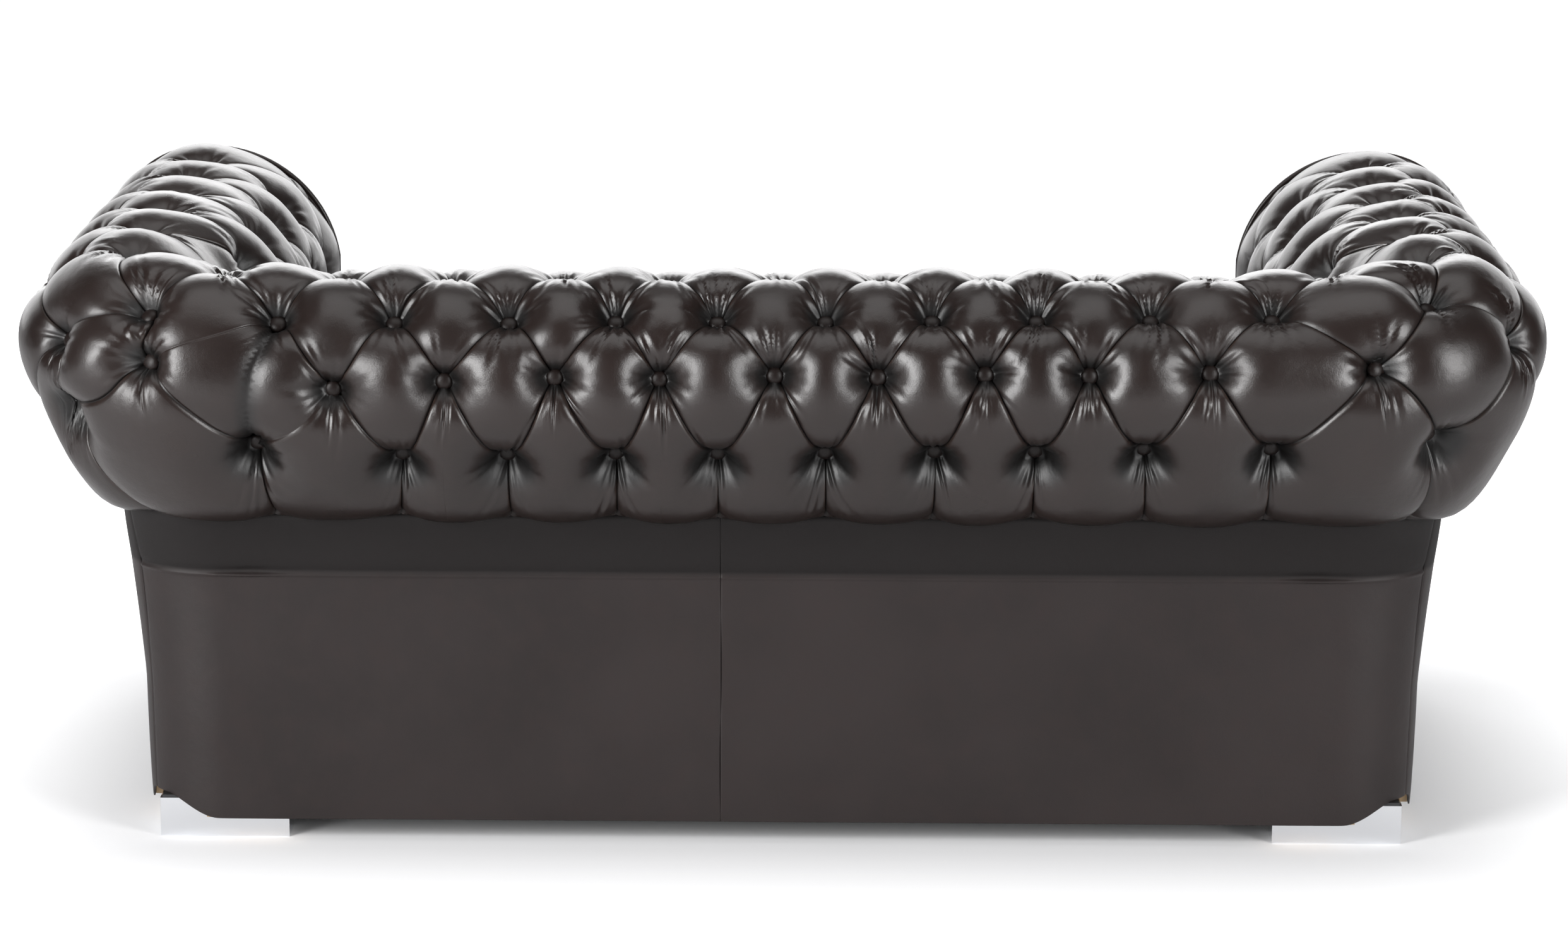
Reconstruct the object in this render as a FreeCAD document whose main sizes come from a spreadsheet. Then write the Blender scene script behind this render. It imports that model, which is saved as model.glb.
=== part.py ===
import FreeCAD, Part
import math
import os
import re
import sys

import Sketcher
from FreeCAD import Vector

# Chesterfield sofa with two loose seat cushions, a buttoned roll round back and arms, and four corner feet.
# Millimetres. +X is the sitter's left, the sofa faces -Y, +Z is up, the origin is under the middle of it.
# The roll is drawn in cross-sections. In a section, "out" counts from the roll's axis towards the outside
# of the sofa and "up" from the axis towards the top. The same section runs along the back, round the
# rounded rear corners and forward along both arms.

document = FreeCAD.newDocument("chesterfield_sofa")
sheet = document.addObject("Spreadsheet::Sheet", "Sizes")

SIZES = (
    ("overall_width", 1740, "over both arms"),
    ("overall_depth", 880, "arm fronts to back roll"),
    ("arm_height", 701, "floor to the top of the arms"),
    ("back_drop", 22, "how much lower the back roll is than the arms"),
    ("roll_radius", 121, "roll axis to the crown of a tuft"),
    ("roll_corner", 85, "plan radius of the roll's axis at the rear corners"),
    ("inner_reach", 171, "roll axis to the seat side of back and arms"),
    ("pivot_reach", 181, "roll axis to the point where the corner pleats meet"),
    ("belly_reach", 134, "roll axis to the hanging belly above the fold"),
    ("tuft_depth", 21, "button below the crown"),
    ("tuft_bulge", 5, "swell of the leather between two stations"),
    ("pad_least", 14, "padding left under a button"),
    ("back_pitches", 4.667, "button pitches from the middle of the back to the corner pleats"),
    ("arm_pitches", 4.623, "button pitches from the corner pleats to the arm's front board"),
    ("belly_tuft", 16, "how much deeper the lowest buttons of the outside sit"),
    ("mitre_gap", 0.12, "half the gap between back and arm padding at the corner"),
    ("button_radius", 10, "covered button"),
    ("button_dome", 5, "height of its dome"),
    ("button_cone", 5.4, "height of the button's underside"),
    ("button_tip", 2.5, "radius at the button's lowest point"),
    ("button_stand", 1.2, "button's lowest point above the bottom of the dip"),
    ("base_set", 9, "roll axis out to the base's face, inwards"),
    ("body_corner", 100, "plan radius of the leather base at the rear"),
    ("flare", 26, "how far the outside leather leans out at the fold"),
    ("fold_height", 402, "floor to the fold under the roll"),
    ("fold_lip", 22, "roll axis out to the lip of the fold"),
    ("panel_drop", 4, "outside leather ends below the fold"),
    ("ridge_height", 321, "floor to the top edge of the bottom rails"),
    ("base_bottom", 28, "floor to the lower edge of the base"),
    ("leather", 3, "leather with its backing"),
    ("clearance", 0.4, "between soft covers and what they lie on"),
    ("board", 15, "rails and boards"),
    ("former_board", 18, "scroll formers"),
    ("corner_former_room", 10, "between the corner former and the padding, more than at the others"),
    ("seat_rail_top", 268, "floor to the top of the seat rails"),
    ("seat_rail_height", 100, "seat rails"),
    ("seat_rail_width", 25, "seat rails"),
    ("stretcher_width", 60, "centre stretcher"),
    ("stretcher_height", 50, "centre stretcher"),
    ("stretcher_drop", 30, "centre stretcher below the seat rails' top"),
    ("batten_width", 40, "top rails inside the roll"),
    ("batten_height", 24, "top rails inside the roll"),
    ("batten_lift", 40, "top rails above the roll axis"),
    ("batten_inward", 28, "inner edge of the top rails from the roll axis"),
    ("tack_inner", 14, "tack rail, inwards from the roll axis"),
    ("tack_outer", 2, "tack rail, outwards from the roll axis"),
    ("tack_share", 0.3457, "height of the tack rails as a share of that between ridge and fold"),
    ("facing_thick", 15, "upholstered scroll facing at the arm front"),
    ("facing_inset", 10, "facing inside the crown of the arm roll"),
    ("welt_radius", 3.5, "piping round the facing"),
    ("border", 18, "padded border under the seat"),
    ("foot_size", 150, "corner foot, square in plan"),
    ("foot_leg", 45, "width of the foot's two arms"),
    ("foot_height", 46, "corner foot"),
    ("foot_wall", 2.5, "sheet of the foot"),
    ("foot_bend", 2, "bend radius of the foot's outer edge"),
    ("foot_rear_set", 22, "rear feet inside the rear leather"),
    ("plate", 3, "steel mounting plate"),
    ("block_size", 140, "corner blocks"),
    ("block_height", 60, "corner blocks"),
    ("screw_radius", 2.5, "foot screws"),
    ("screw_head", 5, "radius of a screw head"),
    ("screw_length", 30, "foot screws in the block"),
    ("screw_fit", 0.1, "round the screw's shank"),
    ("screw_near", 65, "screw hole from the foot's outer faces"),
    ("screw_far", 125, "second screw hole from the foot's outer faces"),
    ("spring_wire", 3.6, "zigzag spring wire"),
    ("spring_leg", 26, "straight cross run of a spring"),
    ("spring_count", 8, "springs side by side"),
    ("spring_bends", 26, "half turns of one spring"),
    ("clip_length", 22, "spring clip"),
    ("clip_width", 9, "spring clip"),
    ("clip_wall", 1.6, "spring clip"),
    ("hessian", 1.5, "woven layer over the springs"),
    ("deck_pad", 15, "felt over the hessian"),
    ("dust_cover", 1, "cloth under the base"),
    ("cushion_gap", 3, "seat cushion to arm, back and its twin"),
    ("cushion_front", 8, "seat cushion front behind the arm fronts"),
    ("cushion_boxing", 116, "between the cushion's two seams"),
    ("cushion_edge", 8, "below the lower and above the upper seam"),
    ("cushion_crown", 12, "crown above the upper edge"),
    ("cushion_corner", 38, "plan radius of a cushion corner"),
    ("cushion_waist", 8, "how far the boxing pulls in between its corners"),
    ("cushion_cover", 2, "cushion leather"),
    ("piping_radius", 4, "cushion piping"),
    ("seam_offset", 69, "seam of the outside back from the middle"),
)

for row, (alias, number, note) in enumerate(SIZES, start=1):
    sheet.set("A%d" % row, note)
    sheet.set("B%d" % row, str(number))
    sheet.setAlias("B%d" % row, alias)
document.recompute()

aliases = sorted((entry[0] for entry in SIZES), key=len, reverse=True)
alias_pattern = re.compile(r"\b(" + "|".join(aliases) + r")\b")


def size(alias):
    """The number in the sheet's cell."""
    return float(sheet.get(alias))


def bound(formula):
    """A formula on the sheet's aliases as an expression of the document."""
    return alias_pattern.sub(r"Sizes.\1", formula)


# Formulas that several sub-parts share

ARM_AXIS = "(overall_width / 2 - roll_radius)"
BACK_AXIS = "(overall_depth / 2 - roll_radius)"
RAIL_OUT = "(base_set + leather + clearance + board)"
SEAT_IN = "(inner_reach - tuft_depth - pad_least - clearance)"
FRONT_BOARD = "(-overall_depth / 2 + facing_thick + clearance)"
FRONT_RAIL = "(-overall_depth / 2 + facing_thick + clearance + board)"
ARM_BASE = "(overall_width / 2 - roll_radius - base_set)"
BACK_BASE = "(overall_depth / 2 - roll_radius - base_set)"
DECK_HALF = ARM_AXIS + " - inner_reach - cushion_gap"
DECK_BACK = BACK_AXIS + " - inner_reach - cushion_gap"
TACK_HEIGHT = "((fold_height - ridge_height) * tack_share)"
HESSIAN_LOW = "(seat_rail_top + clearance + spring_wire + clip_wall + clearance)"
DECK_LOW = HESSIAN_LOW + " + hessian + clearance"
COVER_LOW = DECK_LOW + " + deck_pad + clearance"

# Plain numbers worked out from the sheet

arm_axis = size("overall_width") / 2 - size("roll_radius")
back_axis = size("overall_depth") / 2 - size("roll_radius")
arm_axis_height = size("arm_height") - size("roll_radius")
back_axis_height = arm_axis_height - size("back_drop")
front = -size("overall_depth") / 2
front_board = front + size("facing_thick") + size("clearance")
front_rail = front_board + size("board")
side_rail_inner = arm_axis - size("base_set") - size("leather") - size("clearance") - size("board")
rear_rail_inner = back_axis - size("base_set") - size("leather") - size("clearance") - size("board")
former_inner = size("inner_reach") - size("tuft_depth") - size("pad_least") - size("clearance")
clip_height = 1.5 * size("clearance") + size("spring_wire") + size("clip_wall")
pad_bottom = size("seat_rail_top") + clip_height + size("clearance")
cover_low = (size("seat_rail_top") + 4 * size("clearance") + size("spring_wire") + size("clip_wall")
             + size("hessian") + size("deck_pad"))
cushion_low = cover_low + size("leather") / 2 + size("clearance")


REAR = "rear"
FRONT = "front"
foot_corner = {REAR: back_axis - size("base_set") - size("foot_rear_set"),
               FRONT: front_rail + size("board") + size("clearance")}


def board(label, length, width, height, x, y, z):
    """A board whose sizes and lowest corner are formulas on the sheet."""
    box = document.addObject("Part::Box", label)
    box.Label = label
    box.setExpression("Length", bound(length))
    box.setExpression("Width", bound(width))
    box.setExpression("Height", bound(height))
    box.setExpression("Placement.Base.x", bound(x))
    box.setExpression("Placement.Base.y", bound(y))
    box.setExpression("Placement.Base.z", bound(z))
    return box


def shaped(label, shape):
    """A sub-part whose form comes from sections that neither sketches nor primitives hold."""
    feature = document.addObject("Part::Feature", label)
    feature.Label = label
    feature.Shape = shape
    feature.Placement = FreeCAD.Placement()
    return feature


def twin(label, source):
    """The right-hand twin of a left-hand sub-part."""
    mirror = document.addObject("Part::Mirroring", label)
    mirror.Label = label
    mirror.Source = source
    mirror.Normal = Vector(1, 0, 0)
    mirror.Base = Vector(0, 0, 0)
    return mirror


# Stations along the roll. They count in button pitches from the middle of the back. Whole stations carry
# the rows B, D and F, half stations the rows A, C, E and G. The corner runs from one ray to the next round
# the pivot where the pleats meet, and the arm goes on from there.

LAST_BACK = 4
CORNER_START = 4.5
CORNER_END = 7.0
MITRE = 5.75
ARM_LAST = 11.5

pivot_x = arm_axis - size("pivot_reach")
pivot_y = back_axis - size("pivot_reach")
back_pitch = pivot_x / size("back_pitches")
arm_pitch = (pivot_y - front_board) / size("arm_pitches")


def ease(value):
    """From 0 to 1 with level ends."""
    value = min(max(value, 0.0), 1.0)
    return value * value * (3 - 2 * value)


def axis_height(station):
    """Height of the roll's axis, which climbs from the back to the arms round the corner."""
    return back_axis_height + size("back_drop") * ease((station - LAST_BACK) / (CORNER_END - LAST_BACK))


def ray_reach(angle, out):
    """Distance from the pivot to the line that runs 'out' beside the roll's rounded axis."""
    straight = (out + size("pivot_reach")) / max(math.cos(angle), math.sin(angle))
    to_centre = size("pivot_reach") - size("roll_corner")
    radius = size("roll_corner") + out
    if radius <= 0 or straight * min(math.cos(angle), math.sin(angle)) <= to_centre:
        return straight
    spread = math.cos(angle) - math.sin(angle)
    return to_centre * (math.cos(angle) + math.sin(angle)) + math.sqrt(
        radius ** 2 - (to_centre * spread) ** 2)


def plan_point(station, out):
    """Where a station's section has the given distance out, seen from above, on the left side."""
    if station <= LAST_BACK:
        return station * back_pitch, back_axis + out
    if station < CORNER_START:
        share = (station - LAST_BACK) / (CORNER_START - LAST_BACK)
        last = LAST_BACK * back_pitch
        return last + share * (pivot_x - last), back_axis + out
    if station < CORNER_END:
        angle = math.radians(90 * (station - CORNER_START) / (CORNER_END - CORNER_START))
        reach = ray_reach(angle, out)
        return pivot_x + reach * math.sin(angle), pivot_y + reach * math.cos(angle)
    if station > ARM_LAST:
        return arm_axis + out, front_board
    return arm_axis + out, pivot_y - (station - CORNER_END) * arm_pitch


def plan_normal(station, x, y):
    """Direction straight out of the roll at a point of the left half, seen from above."""
    from_centre_x = x - (arm_axis - size("roll_corner"))
    from_centre_y = y - (back_axis - size("roll_corner"))
    if station <= CORNER_START or (station <= MITRE and from_centre_x <= 0):
        return 0.0, 1.0
    if station >= CORNER_END or from_centre_y <= 0:
        return 1.0, 0.0
    length = math.hypot(from_centre_x, from_centre_y)
    return from_centre_x / length, from_centre_y / length


def polar(radius, degrees):
    return radius * math.cos(math.radians(degrees)), radius * math.sin(math.radians(degrees))


class Row:
    """One row of buttons: its place in the section, the way it faces and the stations it sits on."""

    def __init__(self, name, crown, facing_angle, on_whole):
        self.name = name
        self.crown = crown
        self.facing = facing_angle
        self.on_whole = on_whole

    def point(self, below_crown):
        out, up = polar(below_crown, self.facing)
        return self.crown[0] - out, self.crown[1] - up


inner = -size("inner_reach")
ROWS = (
    Row("C", polar(size("belly_reach"), -49), -30, False),
    Row("B", (size("roll_radius"), 0.19 * size("roll_radius")), 11, True),
    Row("A", polar(size("roll_radius"), 53), 53, False),
    Row("D", polar(size("roll_radius"), 97), 97, True),
    Row("E", (0.75 * inner, 0.58 * size("roll_radius")), 140, False),
    Row("F", (inner, -0.25 * size("roll_radius")), 180, True),
    Row("G", (inner, -0.87 * size("roll_radius")), 180, False),
)
LOW_PLAIN = (inner + size("tuft_bulge"), -1.57 * size("roll_radius"))
VALLEY_ROWS = ("E", "F", "G")


def depth(row, station):
    """How far below the crown the leather is at a row and a whole or half station."""
    deepest = size("tuft_depth") + (size("belly_tuft") if row.name == "C" else 0)
    if row.name in VALLEY_ROWS and CORNER_START <= station <= CORNER_END:
        return deepest
    if station == MITRE or station > ARM_LAST:
        return deepest / 2
    whole = station == int(station)
    return deepest if whole == row.on_whole else 0.0


def core_points(extra):
    """The back of the padding in a section, from the fold over the roll to the seat side."""
    points = []
    for row in ROWS:
        thickness = size("pad_least") + size("tuft_depth") + extra
        if row.name == "C":
            thickness = thickness + size("belly_tuft")
        points.append(row.point(thickness))
    return points


def section_wire(station, side, end_shift=0.0):
    """The closed outline of the padding at a station. side is 1 on the left and -1 on the right."""
    height = axis_height(station)
    lip = size("fold_height") + size("clearance") - height
    bottom = pad_bottom - height
    outer = [(size("fold_lip"), lip)]
    outer = outer + [row.point(depth(row, station)) for row in ROWS]
    outer = outer + [LOW_PLAIN, (LOW_PLAIN[0] + size("tuft_bulge"), bottom)]
    core = core_points(0.0)
    back = [(-former_inner - size("clearance"), bottom)] + core[::-1]
    back = back + [(size("tack_outer") + size("leather") + size("clearance"), lip)]

    def place(point):
        x, y = plan_point(station, point[0])
        return Vector(side * (x - end_shift), y + end_shift, point[1] + height)

    edges = []
    for start, end in zip(outer, outer[1:]):
        run_out = end[0] - start[0]
        run_up = end[1] - start[1]
        length = math.hypot(run_out, run_up)
        middle = ((start[0] + end[0]) / 2 + size("tuft_bulge") * run_up / length,
                  (start[1] + end[1]) / 2 - size("tuft_bulge") * run_out / length)
        edges.append(Part.Arc(place(start), place(middle), place(end)).toShape())
    closing = [outer[-1]] + back + [outer[0]]
    for start, end in zip(closing, closing[1:]):
        edges.append(Part.LineSegment(place(start), place(end)).toShape())
    return Part.Wire(edges)


def lofted(wires):
    """A closed ruled solid through sections."""
    solid = Part.makeLoft(wires, True, True)
    if solid.Volume < 0:
        solid.reverse()
    return solid


def half_steps(first, last):
    return [first + step / 2 for step in range(int(round(2 * (last - first))) + 1)]


FIRST_ARM = 6
LAST_BEFORE_MITRE = 5.5
ARM_END = ARM_LAST + 1


def tufted_back():
    left = half_steps(0, LAST_BEFORE_MITRE)
    wires = [section_wire(MITRE, -1, size("mitre_gap"))]
    wires = wires + [section_wire(station, -1) for station in reversed(left[1:])]
    wires = wires + [section_wire(station, 1) for station in left]
    wires.append(section_wire(MITRE, 1, size("mitre_gap")))
    return lofted(wires)


def tufted_arm(side):
    wires = [section_wire(MITRE, side, -size("mitre_gap"))]
    wires = wires + [section_wire(station, side) for station in half_steps(FIRST_ARM, ARM_LAST)]
    wires.append(section_wire(ARM_END, side))
    return lofted(wires)


shaped("tufted_back", tufted_back())
shaped("tufted_arm_left", tufted_arm(1))
shaped("tufted_arm_right", tufted_arm(-1))

# Covered buttons. The underside is a cone that follows the leather's dip.

STEEP_SHARE = {"C": 1.0, "F": 0.58, "G": 0.58}
CORNER_SHARE = {("C", 5.5): 0.22, ("B", 6): -0.58, ("D", 6): 0.2}


def lift(row, station):
    """How much nearer the crown a button sits in a steep dip, and next to the corner's mitre."""
    share = CORNER_SHARE.get((row.name, station), STEEP_SHARE.get(row.name, 0.0))
    return share * size("button_stand")


def button():
    """One covered button, its axis along +Z and its tip above the bottom of the dip."""
    radius = size("button_radius")
    stand = size("button_stand")
    rim = stand + size("button_cone")
    top = Vector(0, 0, rim + size("button_dome"))
    ball = (radius ** 2 + size("button_dome") ** 2) / 2 / size("button_dome")
    shoulder = Vector(radius / 2, 0, top.z - ball + math.sqrt(ball ** 2 - radius ** 2 / 4))
    corners = (Vector(0, 0, stand), Vector(size("button_tip"), 0, stand), Vector(radius, 0, rim))
    edges = [
        Part.LineSegment(corners[0], corners[1]).toShape(),
        Part.LineSegment(corners[1], corners[2]).toShape(),
        Part.Arc(corners[2], shoulder, top).toShape(),
        Part.LineSegment(top, corners[0]).toShape(),
    ]
    return Part.Face(Part.Wire(edges)).revolve(Vector(0, 0, 0), Vector(0, 0, 1), 360)


def button_at(master, row, station, side):
    out, up = row.point(depth(row, station) - lift(row, station))
    x, y = plan_point(station, out)
    normal_x, normal_y = plan_normal(station, x, y)
    level, rise = polar(1.0, row.facing)
    direction = Vector(side * level * normal_x, level * normal_y, rise)
    turned = master.copy()
    place = Vector(side * x, y, up + axis_height(station))
    turned.Placement = FreeCAD.Placement(place, FreeCAD.Rotation(Vector(0, 0, 1), direction))
    return turned


def carries_button(row, station):
    if row.name in VALLEY_ROWS and CORNER_START <= station <= CORNER_END:
        return False
    return (station == int(station)) == row.on_whole


def buttons(row_names, first, last, sides):
    master = button()
    found = []
    for row in ROWS:
        if row.name not in row_names:
            continue
        for station in half_steps(first, last):
            if not carries_button(row, station):
                continue
            for side in sides:
                if station == 0 and side < 0:
                    continue
                found.append(button_at(master, row, station, side))
    return Part.makeCompound(found)


LAST_BUTTON = ARM_LAST - 0.5
shaped("buttons_back_outer", buttons("ABCD", 0, LAST_BEFORE_MITRE, (1, -1)))
shaped("buttons_back_inner", buttons("EFG", 0, LAST_BEFORE_MITRE, (1, -1)))
shaped("buttons_arm_left", buttons("ABCDEFG", FIRST_ARM, LAST_BUTTON, (1,)))
shaped("buttons_arm_right", buttons("ABCDEFG", FIRST_ARM, LAST_BUTTON, (-1,)))

# Outside leather of the base. Its face stands still up to the ridge and leans out to the fold.

# Each level is a height with the share of the flare at the rear and at the sides.

below_ridge = size("ridge_height") - size("base_bottom")
panel_top = size("fold_height") - size("panel_drop")
HALF_UP = 0.52
NEAR_RIDGE = 0.93
PANEL_LEVELS = (
    (size("base_bottom"), 0.0, 0.0),
    (size("base_bottom") + HALF_UP * below_ridge, 0.0, 0.12),
    (size("base_bottom") + NEAR_RIDGE * below_ridge, 0.0, 0.58),
    (size("ridge_height"), 0.02, 0.66),
    ((size("ridge_height") + panel_top) / 2, 0.40, 0.85),
    (panel_top, 1.0, 1.0),
)
LINER_LEVELS = PANEL_LEVELS[:4]
corner_x = arm_axis - size("base_set") - size("body_corner")
corner_y = back_axis - size("base_set") - size("body_corner")


def panel_radius(level, degrees):
    """Distance of the leather's face from the corner's centre at an angle round the corner."""
    height, rear_lean, side_lean = level
    share = math.sin(math.radians(degrees)) ** 2
    return size("body_corner") + size("flare") * (rear_lean * (1 - share) + side_lean * share)


def corner_point(level, degrees, inset, side):
    radius = panel_radius(level, degrees) - inset
    angle = math.radians(degrees)
    return Vector(side * (corner_x + radius * math.sin(angle)), corner_y + radius * math.cos(angle), level[0])


def strip_wire(points_out, points_in):
    """A thin closed strip. Three points make an arc, two a straight run."""
    edges = []
    for run in points_out + points_in:
        if len(run) == 3:
            edges.append(Part.Arc(*run).toShape())
        else:
            edges.append(Part.LineSegment(*run).toShape())
    return Part.Wire(edges)


def rear_strip(level, side, start_x, inset, thickness):
    """From start_x along the rear and half-way round the corner."""
    runs = []
    for depth_in in (inset, inset + thickness):
        flat = corner_point(level, 0, depth_in, side)
        start = Vector(start_x, flat.y, level[0])
        arc = (flat, corner_point(level, 22.5, depth_in, side), corner_point(level, 45, depth_in, side))
        runs.append((start, flat, arc))
    (start, flat, arc), (start_in, flat_in, arc_in) = runs
    out = [(start, flat), arc, (arc[2], arc_in[2])]
    back = [(arc_in[2], arc_in[1], arc_in[0]), (flat_in, start_in), (start_in, start)]
    return strip_wire(out, back)


def side_strip(level, side, end_y, inset, thickness):
    """From half-way round the corner forward along the side."""
    runs = []
    for depth_in in (inset, inset + thickness):
        flat = corner_point(level, 90, depth_in, side)
        end = Vector(flat.x, end_y, level[0])
        arc = (corner_point(level, 45, depth_in, side), corner_point(level, 67.5, depth_in, side), flat)
        runs.append((arc, flat, end))
    (arc, flat, end), (arc_in, flat_in, end_in) = runs
    out = [arc, (flat, end), (end, end_in)]
    back = [(end_in, flat_in), (arc_in[2], arc_in[1], arc_in[0]), (arc_in[0], arc[0])]
    return strip_wire(out, back)


def corner_strip(level, side, inset, thickness):
    """Only the rounded corner."""
    rings = []
    for depth_in in (inset, inset + thickness):
        rings.append([corner_point(level, degrees, depth_in, side) for degrees in (0, 22.5, 45, 67.5, 90)])
    outer, inside = rings
    out = [tuple(outer[0:3]), tuple(outer[2:5]), (outer[4], inside[4])]
    back = [(inside[4], inside[3], inside[2]), (inside[2], inside[1], inside[0]), (inside[0], outer[0])]
    return strip_wire(out, back)


def above_foot(shape, side):
    """The leather and its liner end above the foot's corner, which stands proud of them."""
    reach = size("body_corner")
    top = size("foot_height") + size("plate") + size("clearance") - size("base_bottom") + 1
    start = corner_x + reach / 4
    low_x = start if side > 0 else -start - reach
    block = Part.makeBox(reach, 2 * reach, top, Vector(low_x, corner_y, size("base_bottom") - 1))
    return shape.cut(block)


def outside_back(side):
    seam = size("seam_offset")
    wires = [rear_strip(level, side, seam, 0.0, size("leather")) for level in PANEL_LEVELS]
    return above_foot(lofted(wires), side)


def outside_arm(side):
    wires = [side_strip(level, side, front_board, 0.0, size("leather")) for level in PANEL_LEVELS]
    return above_foot(lofted(wires), side)


def corner_liner(side):
    inset = size("leather") + size("clearance")
    wires = [corner_strip(level, side, inset, size("leather")) for level in LINER_LEVELS]
    return above_foot(lofted(wires), side)


shaped("outside_back_left", outside_back(1))
shaped("outside_back_right", outside_back(-1))
shaped("outside_arm_left", outside_arm(1))
shaped("outside_arm_right", outside_arm(-1))
shaped("corner_liner_left", corner_liner(1))
shaped("corner_liner_right", corner_liner(-1))

# Rails of the base

board("rear_bottom_rail", "2 * (" + ARM_BASE + " - body_corner)", "board",
      "ridge_height - base_bottom", "-(" + ARM_BASE + " - body_corner)",
      BACK_AXIS + " - " + RAIL_OUT, "base_bottom")
board("front_bottom_rail", "2 * (" + ARM_AXIS + " - " + RAIL_OUT + ")", "board",
      "seat_rail_top - base_bottom", "-(" + ARM_AXIS + " - " + RAIL_OUT + ")", FRONT_RAIL, "base_bottom")
side_rail = board("side_bottom_rail_left", "board", BACK_BASE + " - body_corner - " + FRONT_RAIL,
                  "ridge_height - base_bottom", ARM_AXIS + " - " + RAIL_OUT, FRONT_RAIL, "base_bottom")
twin("side_bottom_rail_right", side_rail)
board("rear_seat_rail", "2 * (" + ARM_AXIS + " - " + SEAT_IN + " - seat_rail_width)", "seat_rail_width",
      "seat_rail_height", "-(" + ARM_AXIS + " - " + SEAT_IN + " - seat_rail_width)",
      BACK_AXIS + " - " + SEAT_IN + " - seat_rail_width", "seat_rail_top - seat_rail_height")
side_seat_rail = board("side_seat_rail_left", "seat_rail_width",
                       BACK_AXIS + " - " + SEAT_IN + " - " + FRONT_RAIL + " - board", "seat_rail_height",
                       ARM_AXIS + " - " + SEAT_IN + " - seat_rail_width", FRONT_RAIL + " + board",
                       "seat_rail_top - seat_rail_height")
twin("side_seat_rail_right", side_seat_rail)
board("centre_stretcher", "stretcher_width",
      BACK_AXIS + " - " + SEAT_IN + " - seat_rail_width - " + FRONT_RAIL + " - board",
      "stretcher_height", "-stretcher_width / 2", FRONT_RAIL + " + board",
      "seat_rail_top - stretcher_drop - stretcher_height")

# Formers, front boards and facings: the scroll as boards

TACK_CORNER = -size("tack_inner")
neck_out = size("tack_outer") + size("leather")


def former_outline(height, bottom, base_out):
    """Outline of a scroll former in a section, from the tack rail over the roll down to the bottom."""
    fold = size("fold_height") - height
    points = [(TACK_CORNER, fold), (neck_out, fold)]
    points = points + core_points(size("clearance"))
    points.append((-former_inner, bottom - height))
    points.append((base_out, bottom - height))
    points.append((base_out, size("ridge_height") - height))
    points.append((TACK_CORNER, size("ridge_height") - height))
    return points


def plate_between(outline, place, thickness):
    """A flat board from an outline. place turns a section point into space."""
    corners = [place(point) for point in outline]
    face = Part.Face(Part.makePolygon(corners + [corners[0]]))
    return face.extrude(thickness)


former_bottom = size("seat_rail_top") - size("seat_rail_height")
base_out = -(size("base_set") + size("leather") + size("clearance") + size("board"))


def batten_box(along_back):
    """The space of a top rail, cut through the formers."""
    long = size("overall_width")
    low_out = -size("batten_inward")
    if along_back:
        corner = Vector(-long / 2, back_axis + low_out, back_axis_height + size("batten_lift"))
        return Part.makeBox(long, size("batten_width"), size("batten_height"), corner)
    corner = Vector(arm_axis + low_out, -long / 2, arm_axis_height + size("batten_lift"))
    return Part.makeBox(size("batten_width"), long, size("batten_height"), corner)


def back_former(x):
    outline = former_outline(back_axis_height, former_bottom, base_out)

    def place(point):
        return Vector(x - size("former_board") / 2, back_axis + point[0], back_axis_height + point[1])

    plate = plate_between(outline, place, Vector(size("former_board"), 0, 0))
    return plate.cut(batten_box(True))


def arm_former(y):
    outline = former_outline(arm_axis_height, former_bottom, base_out)

    def place(point):
        return Vector(arm_axis + point[0], y - size("former_board") / 2, arm_axis_height + point[1])

    plate = plate_between(outline, place, Vector(0, size("former_board"), 0))
    return plate.cut(batten_box(False))


BACK_FORMER_STATIONS = (-4, -2, 0, 2, 4)
ARM_FORMER_STATIONS = (7.25, 8.5, 10)
back_formers = [back_former(station * back_pitch) for station in BACK_FORMER_STATIONS]
shaped("back_formers", Part.makeCompound(back_formers))
arm_formers = [arm_former(plan_point(station, 0)[1]) for station in ARM_FORMER_STATIONS]
arm_formers_left = shaped("arm_formers_left", Part.makeCompound(arm_formers))
twin("arm_formers_right", arm_formers_left)


def corner_former():
    """The former on the diagonal of a rear corner, which stands on the corner block."""
    height = axis_height(MITRE)
    bottom = size("foot_height") + size("plate") + size("block_height")
    fold = size("fold_height") - height
    room = size("corner_former_room")
    points = [(TACK_CORNER, fold), (neck_out - room, fold)]
    points = points + core_points(room)
    points.append((-former_inner, bottom - height))
    points.append((base_out - size("leather"), bottom - height))
    across = Vector(-math.sqrt(0.5), math.sqrt(0.5), 0)

    def place(point):
        reach = ray_reach(math.radians(45), point[0])
        spot = Vector(pivot_x + reach * math.sqrt(0.5), pivot_y + reach * math.sqrt(0.5), height + point[1])
        return spot - across * (size("former_board") / 2)

    return plate_between(points, place, across * size("former_board"))


corner_former_left = shaped("corner_former_left", corner_former())
twin("corner_former_right", corner_former_left)

# Top rails and tack rails

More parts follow.
